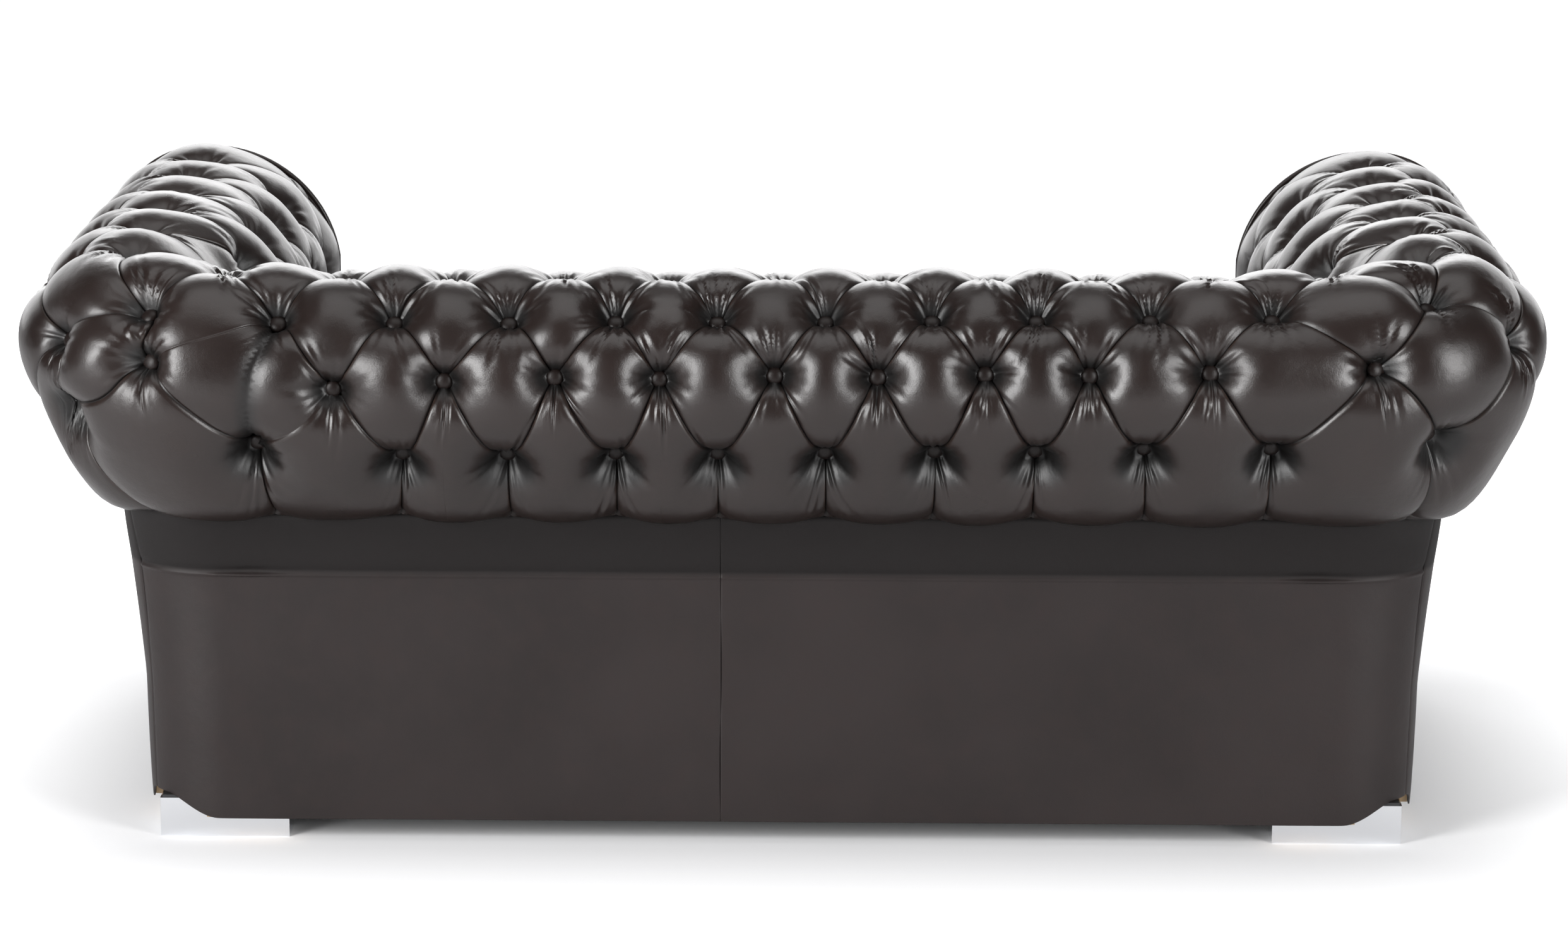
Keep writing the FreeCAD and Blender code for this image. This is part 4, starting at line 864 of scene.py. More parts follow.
def with_back(keys, points, faces):
    """Add the turned-under fold and the back of the padding between the two straight edges."""
    s = sizes()
    fold = np.where(keys[:, 1] < 1e-4)[0]
    foot = np.where(keys[:, 1] > ROW_BOTTOM - 1e-4)[0]
    fold = fold[np.argsort(keys[fold, 0])]
    foot = foot[np.argsort(keys[foot, 0])]
    station = keys[fold, 0]
    if len(fold) != len(foot) or not np.allclose(station, keys[foot, 0], atol=1e-4):
        raise RuntimeError("the padding's two edges don't have the same stations")
    moved = strayed(station, np.zeros_like(station))[0]
    height = axis_height(moved)
    lip = s.fold_height - fold_sag(station)
    back = [
        (0.0205, lip + 0.0010), (0.0186, lip + 0.0040), (0.0182, 0.3995), (0.0060, 0.4030),
        (0.0300, height - 0.052), (0.0780, height + 0.014), (0.0500, height + 0.066),
        (-0.0090, height + 0.082), (-0.1000, height + 0.046), (-0.1350, height - 0.030),
        (-0.1355, height - 0.110),
    ]
    rings = [fold]
    added = [points]
    total = len(points)
    for out, level in back:
        x, y = plan_point(moved, np.full_like(moved, out))
        added.append(np.stack([x, y, level + 0 * moved], axis=-1))
        rings.append(np.arange(total, total + len(moved)))
        total += len(moved)
    rings.append(foot)
    new_faces = [faces]
    for here, there in zip(rings, rings[1:]):
        new_faces.append(np.stack([here[:-1], there[:-1], there[1:], here[1:]], axis=-1))
    return np.concatenate(added), np.concatenate(new_faces)


def trim_roll(obj):
    """Cut the arm's end at its front board, close the openings and turn the faces outwards."""
    s = sizes()
    form = bmesh.new()
    form.from_mesh(obj.data)
    bmesh.ops.bisect_plane(
        form, geom=form.verts[:] + form.edges[:] + form.faces[:], plane_co=(0, s.front, 0),
        plane_no=(0, -1, 0), clear_outer=True)
    rim = [edge for edge in form.edges if edge.is_boundary]
    bmesh.ops.holes_fill(form, edges=rim, sides=0)
    big = [face for face in form.faces if len(face.verts) > 4]
    bmesh.ops.triangulate(form, faces=big)
    bmesh.ops.recalc_face_normals(form, faces=form.faces)
    form.to_mesh(obj.data)
    form.free()
    obj.data.polygons.foreach_set("use_smooth", [True] * len(obj.data.polygons))
    obj.data.update()


LATTICE = []


def lattice():
    if not LATTICE:
        LATTICE.append(Lattice())
    return LATTICE[0]


class SOFA_OT_tufted_leather(bpy.types.Operator):
    """Deep-buttoned leather of the back and the two arms, with its padding"""

    bl_idname = "sofa.tufted_leather"
    bl_label = "Buttoned leather"

    def execute(self, context):
        material = buttoned_leather()
        parts = {
            "tufted_back": lambda middle: abs(middle) < MITRE,
            "tufted_arm_left": lambda middle: middle >= MITRE,
            "tufted_arm_right": lambda middle: middle <= -MITRE,
        }
        for node, belongs in parts.items():
            cells = [cell for middle, cell in lattice().cells if belongs(middle)]
            obj = roll_mesh(node + "_leather", cells)
            finish_piece(obj, "root", material, [node])
        return {"FINISHED"}


# Covered buttons, set by Geometry Nodes on points that carry their direction


class Tree:
    """Short calls for building a Geometry Nodes tree."""

    def __init__(self, name):
        self.tree = bpy.data.node_groups.new(name, "GeometryNodeTree")
        for way in ("INPUT", "OUTPUT"):
            self.tree.interface.new_socket(name="Geometry", in_out=way, socket_type="NodeSocketGeometry")

    def number(self, name, default):
        made = self.tree.interface.new_socket(name=name, in_out="INPUT", socket_type="NodeSocketFloat")
        made.default_value = default
        return made.identifier

    def node(self, kind, inputs=None, **settings):
        made = self.tree.nodes.new(kind)
        for key, value in settings.items():
            setattr(made, key, value)
        for key, value in (inputs or {}).items():
            if isinstance(value, bpy.types.NodeSocket):
                self.tree.links.new(value, made.inputs[key])
            else:
                made.inputs[key].default_value = value
        return made

    def product(self, first, second):
        return self.node("ShaderNodeMath", {0: first, 1: second}, operation="MULTIPLY").outputs[0]

    def close(self, geometry, material):
        """Realize the instances, set the material and give the result out."""
        real = self.node("GeometryNodeRealizeInstances", {0: geometry})
        painted = self.node("GeometryNodeSetMaterial", {"Geometry": real.outputs[0], "Material": material})
        self.node("NodeGroupOutput", {0: painted.outputs[0]})


def plain_result(source, tree, values, name):
    """Evaluate a tree on an object and keep the result as a plain mesh."""
    modifier = source.modifiers.new(tree.name, "NODES")
    modifier.node_group = tree
    for identifier, value in values.items():
        modifier[identifier] = value
    mesh = evaluated_mesh(source)
    mesh.name = name
    bpy.data.objects.remove(source)
    obj = bpy.data.objects.new(name, mesh)
    bpy.context.scene.collection.objects.link(obj)
    mesh.polygons.foreach_set("use_smooth", [True] * len(mesh.polygons))
    return obj


def button_tree(material):
    """Covered buttons on points: a domed cap with the leather gathered under its rim."""
    tree = Tree("covered_buttons")
    radius = tree.number("Radius", 0.01)
    dome = tree.number("Dome", 0.005)
    source = tree.node("NodeGroupInput")
    ball = tree.node("GeometryNodeMeshUVSphere", {"Segments": 22, "Rings": 11, "Radius": 1.0})
    place = tree.node("GeometryNodeInputPosition")
    parts = tree.node("ShaderNodeSeparateXYZ", {0: place.outputs[0]})
    above = tree.node("FunctionNodeCompare", {"A": parts.outputs["Z"]}, data_type="FLOAT",
                      operation="GREATER_THAN")
    share = tree.node("GeometryNodeSwitch", {"Switch": above.outputs[0], "False": 0.9, "True": 1.0},
                      input_type="FLOAT")
    level = tree.product(parts.outputs["Z"], share.outputs[0])
    joined = tree.node("ShaderNodeCombineXYZ", {
        "X": tree.product(parts.outputs["X"], source.outputs["Radius"]),
        "Y": tree.product(parts.outputs["Y"], source.outputs["Radius"]),
        "Z": tree.product(level, source.outputs["Dome"])})
    shaped = tree.node("GeometryNodeSetPosition", {
        "Geometry": ball.outputs["Mesh"], "Position": joined.outputs[0]})
    facing = tree.node("GeometryNodeInputNamedAttribute", {"Name": "facing"}, data_type="FLOAT_VECTOR")
    turn = tree.node("FunctionNodeAlignEulerToVector", {"Vector": facing.outputs["Attribute"]}, axis="Z")
    to_points = tree.node("GeometryNodeMeshToPoints", {"Mesh": source.outputs["Geometry"]})
    vary = tree.node("FunctionNodeRandomValue", {2: 0.96, 3: 1.04, "Seed": 5}, data_type="FLOAT")
    instances = tree.node("GeometryNodeInstanceOnPoints", {
        "Points": to_points.outputs[0], "Instance": shaped.outputs[0], "Rotation": turn.outputs[0],
        "Scale": vary.outputs[1]})
    tree.close(instances.outputs[0], material)
    return tree.tree, {radius: sizes().button_radius, dome: sizes().button_dome}


BUTTON_SINK = 0.0060


def button_points(rows, low, high, sides):
    """Places and directions of the buttons in some rows between two stations."""
    s = sizes()
    places, directions = [], []
    for row in rows:
        whole = (row * 2) % 2 == 0
        for step in range(int(2 * low), int(2 * high) + 1):
            station = step / 2
            if (station == int(station)) != whole or not has_button(station, row):
                continue
            for side in sides:
                if station == 0 and side < 0:
                    continue
                here, level = np.array([side * station]), np.array([row])
                depth = s.well_depth * (TOP_WELL if row == ROW_D else 1.0)
                depth = depth + (s.belly_well if row == ROW_C else 0.0)
                deep = roll_point(here, level, np.array([depth]))[0]
                crown = roll_point(here, level, np.array([0.0]))[0]
                outward = Vector(crown - deep).normalized()
                places.append(Vector(deep) + outward * BUTTON_SINK)
                directions.append(outward)
    return places, directions


class SOFA_OT_covered_buttons(bpy.types.Operator):
    """Leather-covered buttons in the wells of the roll"""

    bl_idname = "sofa.covered_buttons"
    bl_label = "Covered buttons"

    def execute(self, context):
        # The buttons take the leather darkened to seven tenths as painted shade for their sunk wells.
        material = leather_material("button_leather", toned(colours().leather, 0.7), 0.36, 0.44, 0.26)
        outside = (ROW_C, ROW_B, ROW_A, ROW_D)
        inside = (ROW_E, ROW_F, ROW_G)
        groups = {
            "buttons_back_outer": (outside, 0, 5.5, (1, -1)),
            "buttons_back_inner": (inside, 0, 5.5, (1, -1)),
            "buttons_arm_left": (outside + inside, 6, LAST_BUTTON, (1,)),
            "buttons_arm_right": (outside + inside, 6, LAST_BUTTON, (-1,)),
        }
        tree, values = button_tree(material)
        for node, where in groups.items():
            places, directions = button_points(*where)
            points = mesh_object(node + "_points", places, [], smooth=False)
            facing = points.data.attributes.new("facing", "FLOAT_VECTOR", "POINT")
            facing.data.foreach_set("vector", [part for way in directions for part in way])
            obj = plain_result(points, tree, values, node + "_covered")
            finish_piece(obj, "root", material, [node])
        return {"FINISHED"}


# Outside leather of the base

BASE = {"low": 0.028, "ridge": 0.321, "top": 0.398, "corner": 0.100, "flare": 0.026, "leather": 0.003}
CORNER_X = 0.640
CORNER_Y = 0.210
BASE_FRONT = -0.4246
BACK_SEAM = 0.069
SEAM_ANGLE = 62.0


def lean(height, side_share):
    """How far the leather leans out at a height, as a share of the flare."""
    levels = (0.028, 0.180, 0.300, 0.321, 0.3595, 0.398)
    rear = np.interp(height, levels, (0.0, 0.0, 0.0, 0.02, 0.40, 1.0))
    side = np.interp(height, levels, (0.0, 0.12, 0.58, 0.66, 0.85, 1.0))
    return rear * (1 - side_share) + side * side_share


def lean_smooth(height, side_share):
    blurred = [lean(height + shift, side_share) for shift in (-0.009, -0.0045, 0.0, 0.0045, 0.009)]
    return sum(blurred) / len(blurred)


def base_surface(path, heights, side, inset, relief):
    """Points of the base's leather. The path holds (kind, value): a run along the rear, an angle round
    the corner or a run along the side. Relief adds detail outwards."""
    grid = np.zeros((len(heights), len(path), 3))
    for column, (kind, value) in enumerate(path):
        degrees = {"rear": 0.0, "corner": value, "side": 90.0}[kind]
        angle = math.radians(degrees)
        share = math.sin(angle) ** 2
        lowest = foot_clear(kind, value)
        z = lowest + (heights - BASE["low"]) * (BASE["top"] - lowest) / (BASE["top"] - BASE["low"])
        radius = BASE["corner"] + BASE["flare"] * lean_smooth(z, share) - inset
        radius = radius + relief(kind, value, z)
        if kind == "rear":
            grid[:, column] = np.stack([side * value + 0 * z, CORNER_Y + radius, z], axis=-1)
        elif kind == "side":
            grid[:, column] = np.stack([side * (CORNER_X + radius), value + 0 * z, z], axis=-1)
        else:
            x = side * (CORNER_X + radius * math.sin(angle))
            grid[:, column] = np.stack([x, CORNER_Y + radius * math.cos(angle), z], axis=-1)
    return grid


def foot_clear(kind, value):
    """Lower edge of the leather, which rises round the corner over the foot."""
    if kind != "corner":
        return BASE["low"]
    return BASE["low"] + 0.0225 * float(ease((value - 6) / 40) * ease((86 - value) / 22))


def rear_relief(kind, value, z):
    """Ridge over the bottom rail and soft unevenness of the rear leather; the panel adds the centre seam."""
    x = value if kind == "rear" else CORNER_X
    end = float(np.exp(-((abs(x) - 0.612) / 0.032) ** 2)) if kind == "rear" else math.exp(-value / 5)
    ridge = (0.0011 + 0.0026 * end) * np.exp(-((z - 0.3195) / 0.0019) ** 2)
    ledge = -(0.0010 + 0.0014 * end) * np.exp(-((z - 0.3255) / 0.004) ** 2)
    wave = 0.0006 * np.sin(7 * x + 3) * np.sin(19 * z) + 0.0004 * np.sin(23 * x + 31 * z)
    edge = 0.0012 * np.exp(-(z - BASE["low"]) / 0.012)
    return ridge + ledge + wave - edge


def side_relief(kind, value, z):
    along = value if kind == "side" else CORNER_Y
    wave = 0.0007 * np.sin(6 * along + 2) * np.sin(15 * z) + 0.0004 * np.sin(21 * along + 27 * z)
    return wave - 0.0012 * np.exp(-(z - BASE["low"]) / 0.012)


def seam_dip(path_position, seam_position, width, depth):
    return depth * math.exp(-((path_position - seam_position) / width) ** 2)


class SOFA_OT_outside_leather(bpy.types.Operator):
    """Plain leather over the rear and the sides of the base"""

    bl_idname = "sofa.outside_leather"
    bl_label = "Outside leather"

    def execute(self, context):
        material = plain_leather()
        low = [0.0, 0.0008, 0.002, 0.004, 0.008, 0.015, 0.025]
        body = list(np.arange(0.040, 0.272, 0.012))
        ridge = list(np.arange(0.276, 0.3035, 0.0010))
        upper = list(np.arange(0.306, 0.371, 0.005))
        heights = BASE["low"] + np.array(low + body + ridge + upper)
        heights[-1] = BASE["top"]
        for name, side in SIDES.items():
            near = BACK_SEAM * side
            flat = list(np.linspace(near, near + 0.01, 6)) + list(np.linspace(near + 0.02, 0.55, 30))
            flat += list(np.linspace(0.56, CORNER_X, 26))
            path = [("rear", x) for x in flat]
            path += [("corner", degrees) for degrees in np.linspace(3, SEAM_ANGLE - 0.02, 30)]
            self.panel("outside_back_" + name, path, heights, side, rear_relief, near, material)
            path = [("corner", degrees) for degrees in np.linspace(SEAM_ANGLE + 0.02, 87, 14)]
            path += [("side", y) for y in np.linspace(CORNER_Y, BASE_FRONT, 48)]
            self.panel("outside_arm_" + name, path, heights, side, side_relief, near, material)
        return {"FINISHED"}

    @staticmethod
    def panel(node, path, heights, side, relief, middle_seam, material):
        def detailed(kind, value, z):
            dip = 0.0
            if kind == "corner":
                dip = seam_dip(math.radians(value - SEAM_ANGLE) * BASE["corner"], 0.0, 0.0016, 0.0007)
            elif kind == "rear":
                dip = seam_dip(value, middle_seam, 0.0030, 0.0002)
            return relief(kind, value, z) - dip

        outer = base_surface(path, heights, side, 0.0, detailed)
        inner = base_surface(path, heights, side, BASE["leather"], lambda kind, value, z: 0.0 * z)
        obj = closed_sheet(node + "_leather", outer, inner)
        finish_piece(obj, "root", material, [node])


# Scroll facings at the arm fronts, their piping and the border under the seat


def arc_through(first, middle, last, count):
    """Points on the circle arc through three points of a plane."""
    (ax, ay), (bx, by), (cx, cy) = first, middle, last
    d = 2 * (ax * (by - cy) + bx * (cy - ay) + cx * (ay - by))
    ux = ((ax ** 2 + ay ** 2) * (by - cy) + (bx ** 2 + by ** 2) * (cy - ay) + (cx ** 2 + cy ** 2) * (ay - by)) / d
    uy = ((ax ** 2 + ay ** 2) * (cx - bx) + (bx ** 2 + by ** 2) * (ax - cx) + (cx ** 2 + cy ** 2) * (bx - ax)) / d
    radius = math.hypot(ax - ux, ay - uy)
    start = math.atan2(ay - uy, ax - ux)
    sweep_mid = (math.atan2(by - uy, bx - ux) - start) % (2 * math.pi)
    sweep = (math.atan2(cy - uy, cx - ux) - start) % (2 * math.pi)
    if sweep_mid > sweep:
        sweep -= 2 * math.pi
    turns = [start + sweep * number / count for number in range(count)]
    return [(ux + radius * math.cos(turn), uy + radius * math.sin(turn)) for turn in turns]


def facing_outline(inset):
    """Outline of a scroll facing as (out, height), set in from the crown of the roll."""
    s = sizes()
    radius = s.roll_radius - inset
    inner = -s.inner_reach + inset * 0.25
    height = s.arm_height
    top = (0.0, height + radius)
    shoulder_start = (inner, height - 0.2 * radius)
    shoulder = (0.66 * inner, height + 0.69 * radius)
    below = (radius * math.sqrt(0.5), height - radius * math.sqrt(0.5))
    neck = (BASE["flare"] - 0.009 - inset / 2, s.fold_height - 0.0004 + inset)
    belly = ((below[0] + neck[0]) / 2 + 0.07 * radius, (below[1] + neck[1]) / 2 - 0.1 * radius)
    foot_out = (-0.009 - inset / 4, BASE["low"])
    foot_in = (inner, BASE["low"])

    def straight(first, last, count):
        return [(first[0] + (last[0] - first[0]) * k / count, first[1] + (last[1] - first[1]) * k / count)
                for k in range(count)]

    points = straight(foot_in, shoulder_start, 26)
    points += arc_through(shoulder_start, shoulder, top, 22)
    points += arc_through(top, (radius, height), below, 30)
    points += arc_through(below, belly, neck, 12)
    points += straight(neck, foot_out, 26)
    points += straight(foot_out, foot_in, 16)
    return points


FACING_FRONT = -0.440
FACING_THICK = 0.015


def facing_mesh(name, side):
    """A padded board with rounded edges, swelling towards its middle."""
    s = sizes()
    axis = s.arm_axis
    rings = []
    for inset, depth in ((0.0100, 0.0), (0.0100, -0.0125), (0.0106, -0.0142), (0.0122, -0.0150),
                         (0.018, -0.0155), (0.028, -0.0165), (0.042, -0.0180), (0.056, -0.0190)):
        outline = facing_outline(inset)
        rings.append([(side * (axis + out), FACING_FRONT + FACING_THICK + depth, max(up, 0.028)) for out, up in
                      outline])
    count = len(rings[0])
    points = [point for ring in rings for point in ring]
    faces = grid_faces(len(rings), count, closed=True)
    faces.append(tuple(range(count - 1, -1, -1)))
    faces.append(tuple((len(rings) - 1) * count + k for k in range(count)))
    obj = mesh_object(name, points, faces)
    split_big_faces(obj)
    return obj


def tube_tree(name, material):
    """A round cord along a curve."""
    tree = Tree(name)
    radius = tree.number("Radius", 0.004)
    source = tree.node("NodeGroupInput")
    to_curve = tree.node("GeometryNodeMeshToCurve", {"Mesh": source.outputs["Geometry"]})
    profile = tree.node("GeometryNodeCurvePrimitiveCircle", {
        "Resolution": 12, "Radius": source.outputs["Radius"]})
    tube = tree.node("GeometryNodeCurveToMesh", {
        "Fill Caps": True, "Curve": to_curve.outputs[0], "Profile Curve": profile.outputs[0]})
    tree.close(tube.outputs[0], material)
    return tree.tree, radius


def path_object(name, loops):
    """Closed loops of points as edges only."""
    points, edges = [], []
    for loop in loops:
        start = len(points)
        points += loop
        edges += [(start + k, start + (k + 1) % len(loop)) for k in range(len(loop))]
    mesh = bpy.data.meshes.new(name)
    mesh.from_pydata([tuple(point) for point in points], edges, [])
    obj = bpy.data.objects.new(name, mesh)
    bpy.context.scene.collection.objects.link(obj)
    return obj


class SOFA_OT_scroll_facings(bpy.types.Operator):
    """Padded facings at the arm fronts with the piping round them"""

    bl_idname = "sofa.scroll_facings"
    bl_label = "Scroll facings"

    def execute(self, context):
        s = sizes()
        material = buttoned_leather()
        loops = []
        for name, side in SIDES.items():
            obj = facing_mesh("arm_facing_%s_leather" % name, side)
            finish_piece(obj, "root", material, ["arm_facing_" + name])
            outline = facing_outline(0.0062)
            loops.append([(side * (s.arm_axis + out), FACING_FRONT + 0.0038, max(up, 0.0318))
                          for out, up in outline])
        tree, radius = tube_tree("facing_piping", piping_leather())
        obj = plain_result(path_object("facing_piping_path", loops), tree, {radius: 0.0038}, "facing_piping")
        finish_piece(obj, "root", piping_leather(), ["facing_welts"])
        return {"FINISHED"}


# How far each end of the front border reaches in behind its facing
BORDER_REACH = 0.0130


class SOFA_OT_front_border(bpy.types.Operator):
    """Padded border under the seat cushions"""

    bl_idname = "sofa.front_border"
    bl_label = "Front border"

    def execute(self, context):
        low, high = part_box("front_border")
        rows, columns = 26, 90
        outer = np.zeros((rows, columns, 3))
        inner = np.zeros((rows, columns, 3))
        middle = (low.x + high.x) / 2
        for row in range(rows):
            up = row / (rows - 1)
            for column in range(columns):
                across = column / (columns - 1)
                edge = (1 - (2 * up - 1) ** 6) * (1 - (2 * across - 1) ** 30)
                ripple = 0.0009 * math.sin(34 * across * math.pi) * math.exp(-(1 - up) / 0.12)
                y = low.y + 0.012 * (1 - edge) - 0.002 * edge + ripple
                x = middle + (high.x - low.x + 2 * BORDER_REACH) * (across - 0.5)
                z = low.z + (high.z - low.z) * up
                outer[row, column] = (x, y, z)
                inner[row, column] = (x, high.y, z)
        obj = closed_sheet("front_border_leather", outer, inner)
        finish_piece(obj, "root", buttoned_leather(), ["front_border"])
        return {"FINISHED"}


# Loose seat cushions


CUSHION_SEAMS = (0.008, 0.124)
CUSHION_SWELL = 0.024


def corner_signs(turn):
    """Signs of x and y in a quarter turn of a loop."""
    return (1 if turn in (0, 3) else -1), (1 if turn in (0, 1) else -1)


def cushion_cage(low, high, corner=0.036, waist=0.006):
    """Crowned box with rounded corners whose sides pull in between the seams."""
    centre = (low + high) / 2
    half_x, half_y = (high.x - low.x) / 2, (high.y - low.y) / 2
    seam_low, seam_high = (low.z + seam for seam in CUSHION_SEAMS)
    levels = (
        (low.z + 0.0012, 0.060, 0.0), (low.z + 0.003, 0.020, 0.0), (seam_low, 0.0, 0.0),
        (seam_low + 0.018, 0.0, 0.5), (seam_low + 0.045, 0.0, 0.95), (seam_low + 0.071, 0.0, 0.95),
        (seam_high - 0.018, 0.0, 0.5), (seam_high, 0.0, 0.0), (seam_high + 0.005, 0.022, 0.0),
        (seam_high + 0.009, 0.060, 0.0), (seam_high + 0.014, 0.130, 0.0), (seam_high + 0.0165, 0.190, 0.0),
    )
    rings = []
    for z, inset, drawn in levels:
        ring = []
        a, b = half_x - inset, half_y - inset
        r = min(corner, a * 0.9, b * 0.9)
        for turn in range(4):
            hand_x, hand_y = corner_signs(turn)
            for k in range(7):
                angle = math.pi / 2 * (turn + k / 6)
                ring.append((hand_x * (a - r) + r * math.cos(angle), hand_y * (b - r) + r * math.sin(angle)))
            next_x, next_y = corner_signs((turn + 1) % 4)
            next_x, next_y = next_x * (a - r), next_y * (b - r)
            angle = math.pi / 2 * (turn + 1)
            start = ring[-1]
            end = (next_x + r * math.cos(angle), next_y + r * math.sin(angle))
            for k in range(1, 16):
                share = k / 16
                bow = waist * drawn * math.sin(math.pi * share)
                x = start[0] + (end[0] - start[0]) * share - bow * math.cos(angle)
                y = start[1] + (end[1] - start[1]) * share - bow * math.sin(angle)
                ring.append((x, y))
        rings.append([(centre.x + x, centre.y + y, z) for x, y in ring])
    count = len(rings[0])
    points = [point for ring in rings for point in ring]
    faces = grid_faces(len(rings), count, closed=True)
    faces.append(tuple(range(count - 1, -1, -1)))
    faces.append(tuple((len(rings) - 1) * count + k for k in range(count)))
    return points, faces


def blow_up(obj, cap):
    """Cloth under pressure for twenty frames, with no point moving further than the cap."""
    rest = np.array([vertex.co for vertex in obj.data.vertices])
    modifier = obj.modifiers.new("stuffing", "CLOTH")
    cloth = modifier.settings
    cloth.use_pressure = True
    cloth.uniform_pressure_force = 4.0
    cloth.quality = 3
    cloth.tension_stiffness = 30
    cloth.compression_stiffness = 30
    cloth.bending_stiffness = 2
    cloth.effector_weights.gravity = 0.0
    modifier.point_cache.frame_start = 1
    modifier.point_cache.frame_end = 20
    scene = bpy.context.scene
    for number in range(1, 21):
        scene.frame_set(number)
    evaluated = obj.evaluated_get(bpy.context.evaluated_depsgraph_get())
    moved = np.array([vertex.co for vertex in evaluated.data.vertices])
    obj.modifiers.remove(modifier)
    scene.frame_set(1)
    step = moved - rest
    length = np.maximum(np.linalg.norm(step, axis=1), 1e-9)
    step = step * (np.minimum(length, cap) / length)[:, None]
    return rest + step


class SOFA_OT_seat_cushions(bpy.types.Operator):
    """Two loose seat cushions, blown up as cloth, with piped seams"""

    bl_idname = "sofa.seat_cushions"
    bl_label = "Seat cushions"

    def execute(self, context):
        for name in SIDES:
            node = "seat_cushion_cover_" + name
            low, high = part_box(node)
            points, faces = cushion_cage(low, high)
            obj = mesh_object("seat_cushion_%s_leather" % name, points, faces)
            split_big_faces(obj)
            remesh = obj.modifiers.new("even_mesh", "REMESH")
            remesh.mode = "VOXEL"
            remesh.voxel_size = 0.006
            mesh = evaluated_mesh(obj)
            obj.modifiers.remove(remesh)
            obj.data = mesh
            self.stuff(obj, low, high)
            self.settle(obj, low, high)
            mesh.polygons.foreach_set("use_smooth", [True] * len(mesh.polygons))
            body = "seat_cushion_" + name
            nodes = [node, "seat_cushion_core_" + name]
            finish_piece(obj, body, buttoned_leather(), nodes)
            self.piping(name, low, high, body)
        return {"FINISHED"}

    @staticmethod
    def stuff(obj, low, high):
        moved = blow_up(obj, CUSHION_SWELL)
        centre = (low + high) / 2
        limit_x = (high.x - low.x) / 2 + 0.004
        limit_y = (high.y - low.y) / 2 + 0.004
        moved[:, 0] = centre.x + np.clip(moved[:, 0] - centre.x, -limit_x, limit_x)
        moved[:, 1] = centre.y + np.clip(moved[:, 1] - centre.y, -limit_y, limit_y)
        moved[:, 2] = np.clip(moved[:, 2], low.z + 0.0005, high.z + 0.010)
        obj.data.vertices.foreach_set("co", moved.astype(np.float32).ravel())
        obj.data.update()

    @staticmethod
    def settle(obj, low, high):
        """Soft creases and a sat-in hollow on top."""
        co = np.array([vertex.co for vertex in obj.data.vertices])
        centre = (low + high) / 2
        x, y = co[:, 0] - centre.x, co[:, 1] - centre.y
        top = ease((co[:, 2] - (high.z - 0.03)) / 0.02)
        hollow = 0.006 * np.exp(-(x / 0.17) ** 2 - ((y + 0.02) / 0.17) ** 2)
        wrinkle = 0.0012 * np.sin(58 * x + 9 * np.sin(21 * y)) * np.sin(33 * y + 4 * np.sin(17 * x))
        rim = np.exp(-((np.abs(x) - 0.24) / 0.03) ** 2) + np.exp(-((np.abs(y) - 0.24) / 0.03) ** 2)
        co[:, 2] -= top * (hollow - wrinkle * np.clip(rim, 0, 1))
        obj.data.vertices.foreach_set("co", co.astype(np.float32).ravel())
        obj.data.update()

    @staticmethod
    def piping(name, low, high, body):
        centre = (low + high) / 2
        half_x, half_y = (high.x - low.x) / 2 + 0.0042, (high.y - low.y) / 2 + 0.0042
        corner = 0.042
        loops = []
        for z in (low.z + seam for seam in CUSHION_SEAMS):
            loop = []
            for turn in range(4):
                hand_x, hand_y = corner_signs(turn)
                for k in range(13):
                    angle = math.pi / 2 * (turn + k / 12)
                    x = hand_x * (half_x - corner) + corner * math.cos(angle)
                    y = hand_y * (half_y - corner) + corner * math.sin(angle)
                    loop.append((centre.x + x, centre.y + y, z + 0.0006 * math.sin(9 * angle + turn)))
            loops.append(loop)
        tree, radius = tube_tree("cushion_piping_" + name, piping_leather())
        obj = plain_result(path_object("cushion_path", loops), tree, {radius: 0.0040},
                           "seat_cushion_%s_piping" % name)
        finish_piece(obj, body, piping_leather(), ["seat_cushion_piping_" + name])


# Cloths of the seat


def cloth_material(name, colour, scale, rough):
    """Plain weave on Object coordinates."""
    cloth = Finish(name)
    if not cloth.fresh:
        return cloth.material
    over = cloth.node("ShaderNodeTexWave", bands_direction="X")
    under = cloth.node("ShaderNodeTexWave", bands_direction="Y")
    for wave in (over, under):
        wave.inputs["Scale"].default_value = scale
        wave.inputs["Distortion"].default_value = 0.6
        cloth.link(cloth.place, wave.inputs["Vector"])
    weave = cloth.math("MULTIPLY", over.outputs["Fac"], under.outputs["Fac"])
    fleck = cloth.spread(cloth.noise(70.0), 0.35, 0.7)
    tone = cloth.mix(fleck, toned(colour, 0.75), toned(colour, 1.2))
    base = cloth.mix(cloth.spread(weave, 0.0, 1.0, 0.0, 0.6), tone, toned(colour, 1.35))
    cloth.link(base, cloth.shader.inputs["Base Color"])
    cloth.link(cloth.bump(weave, 0.0006, 0.8), cloth.shader.inputs["Normal"])
    cloth.set(Roughness=rough, Sheen_Weight=0.15)
    return cloth.material


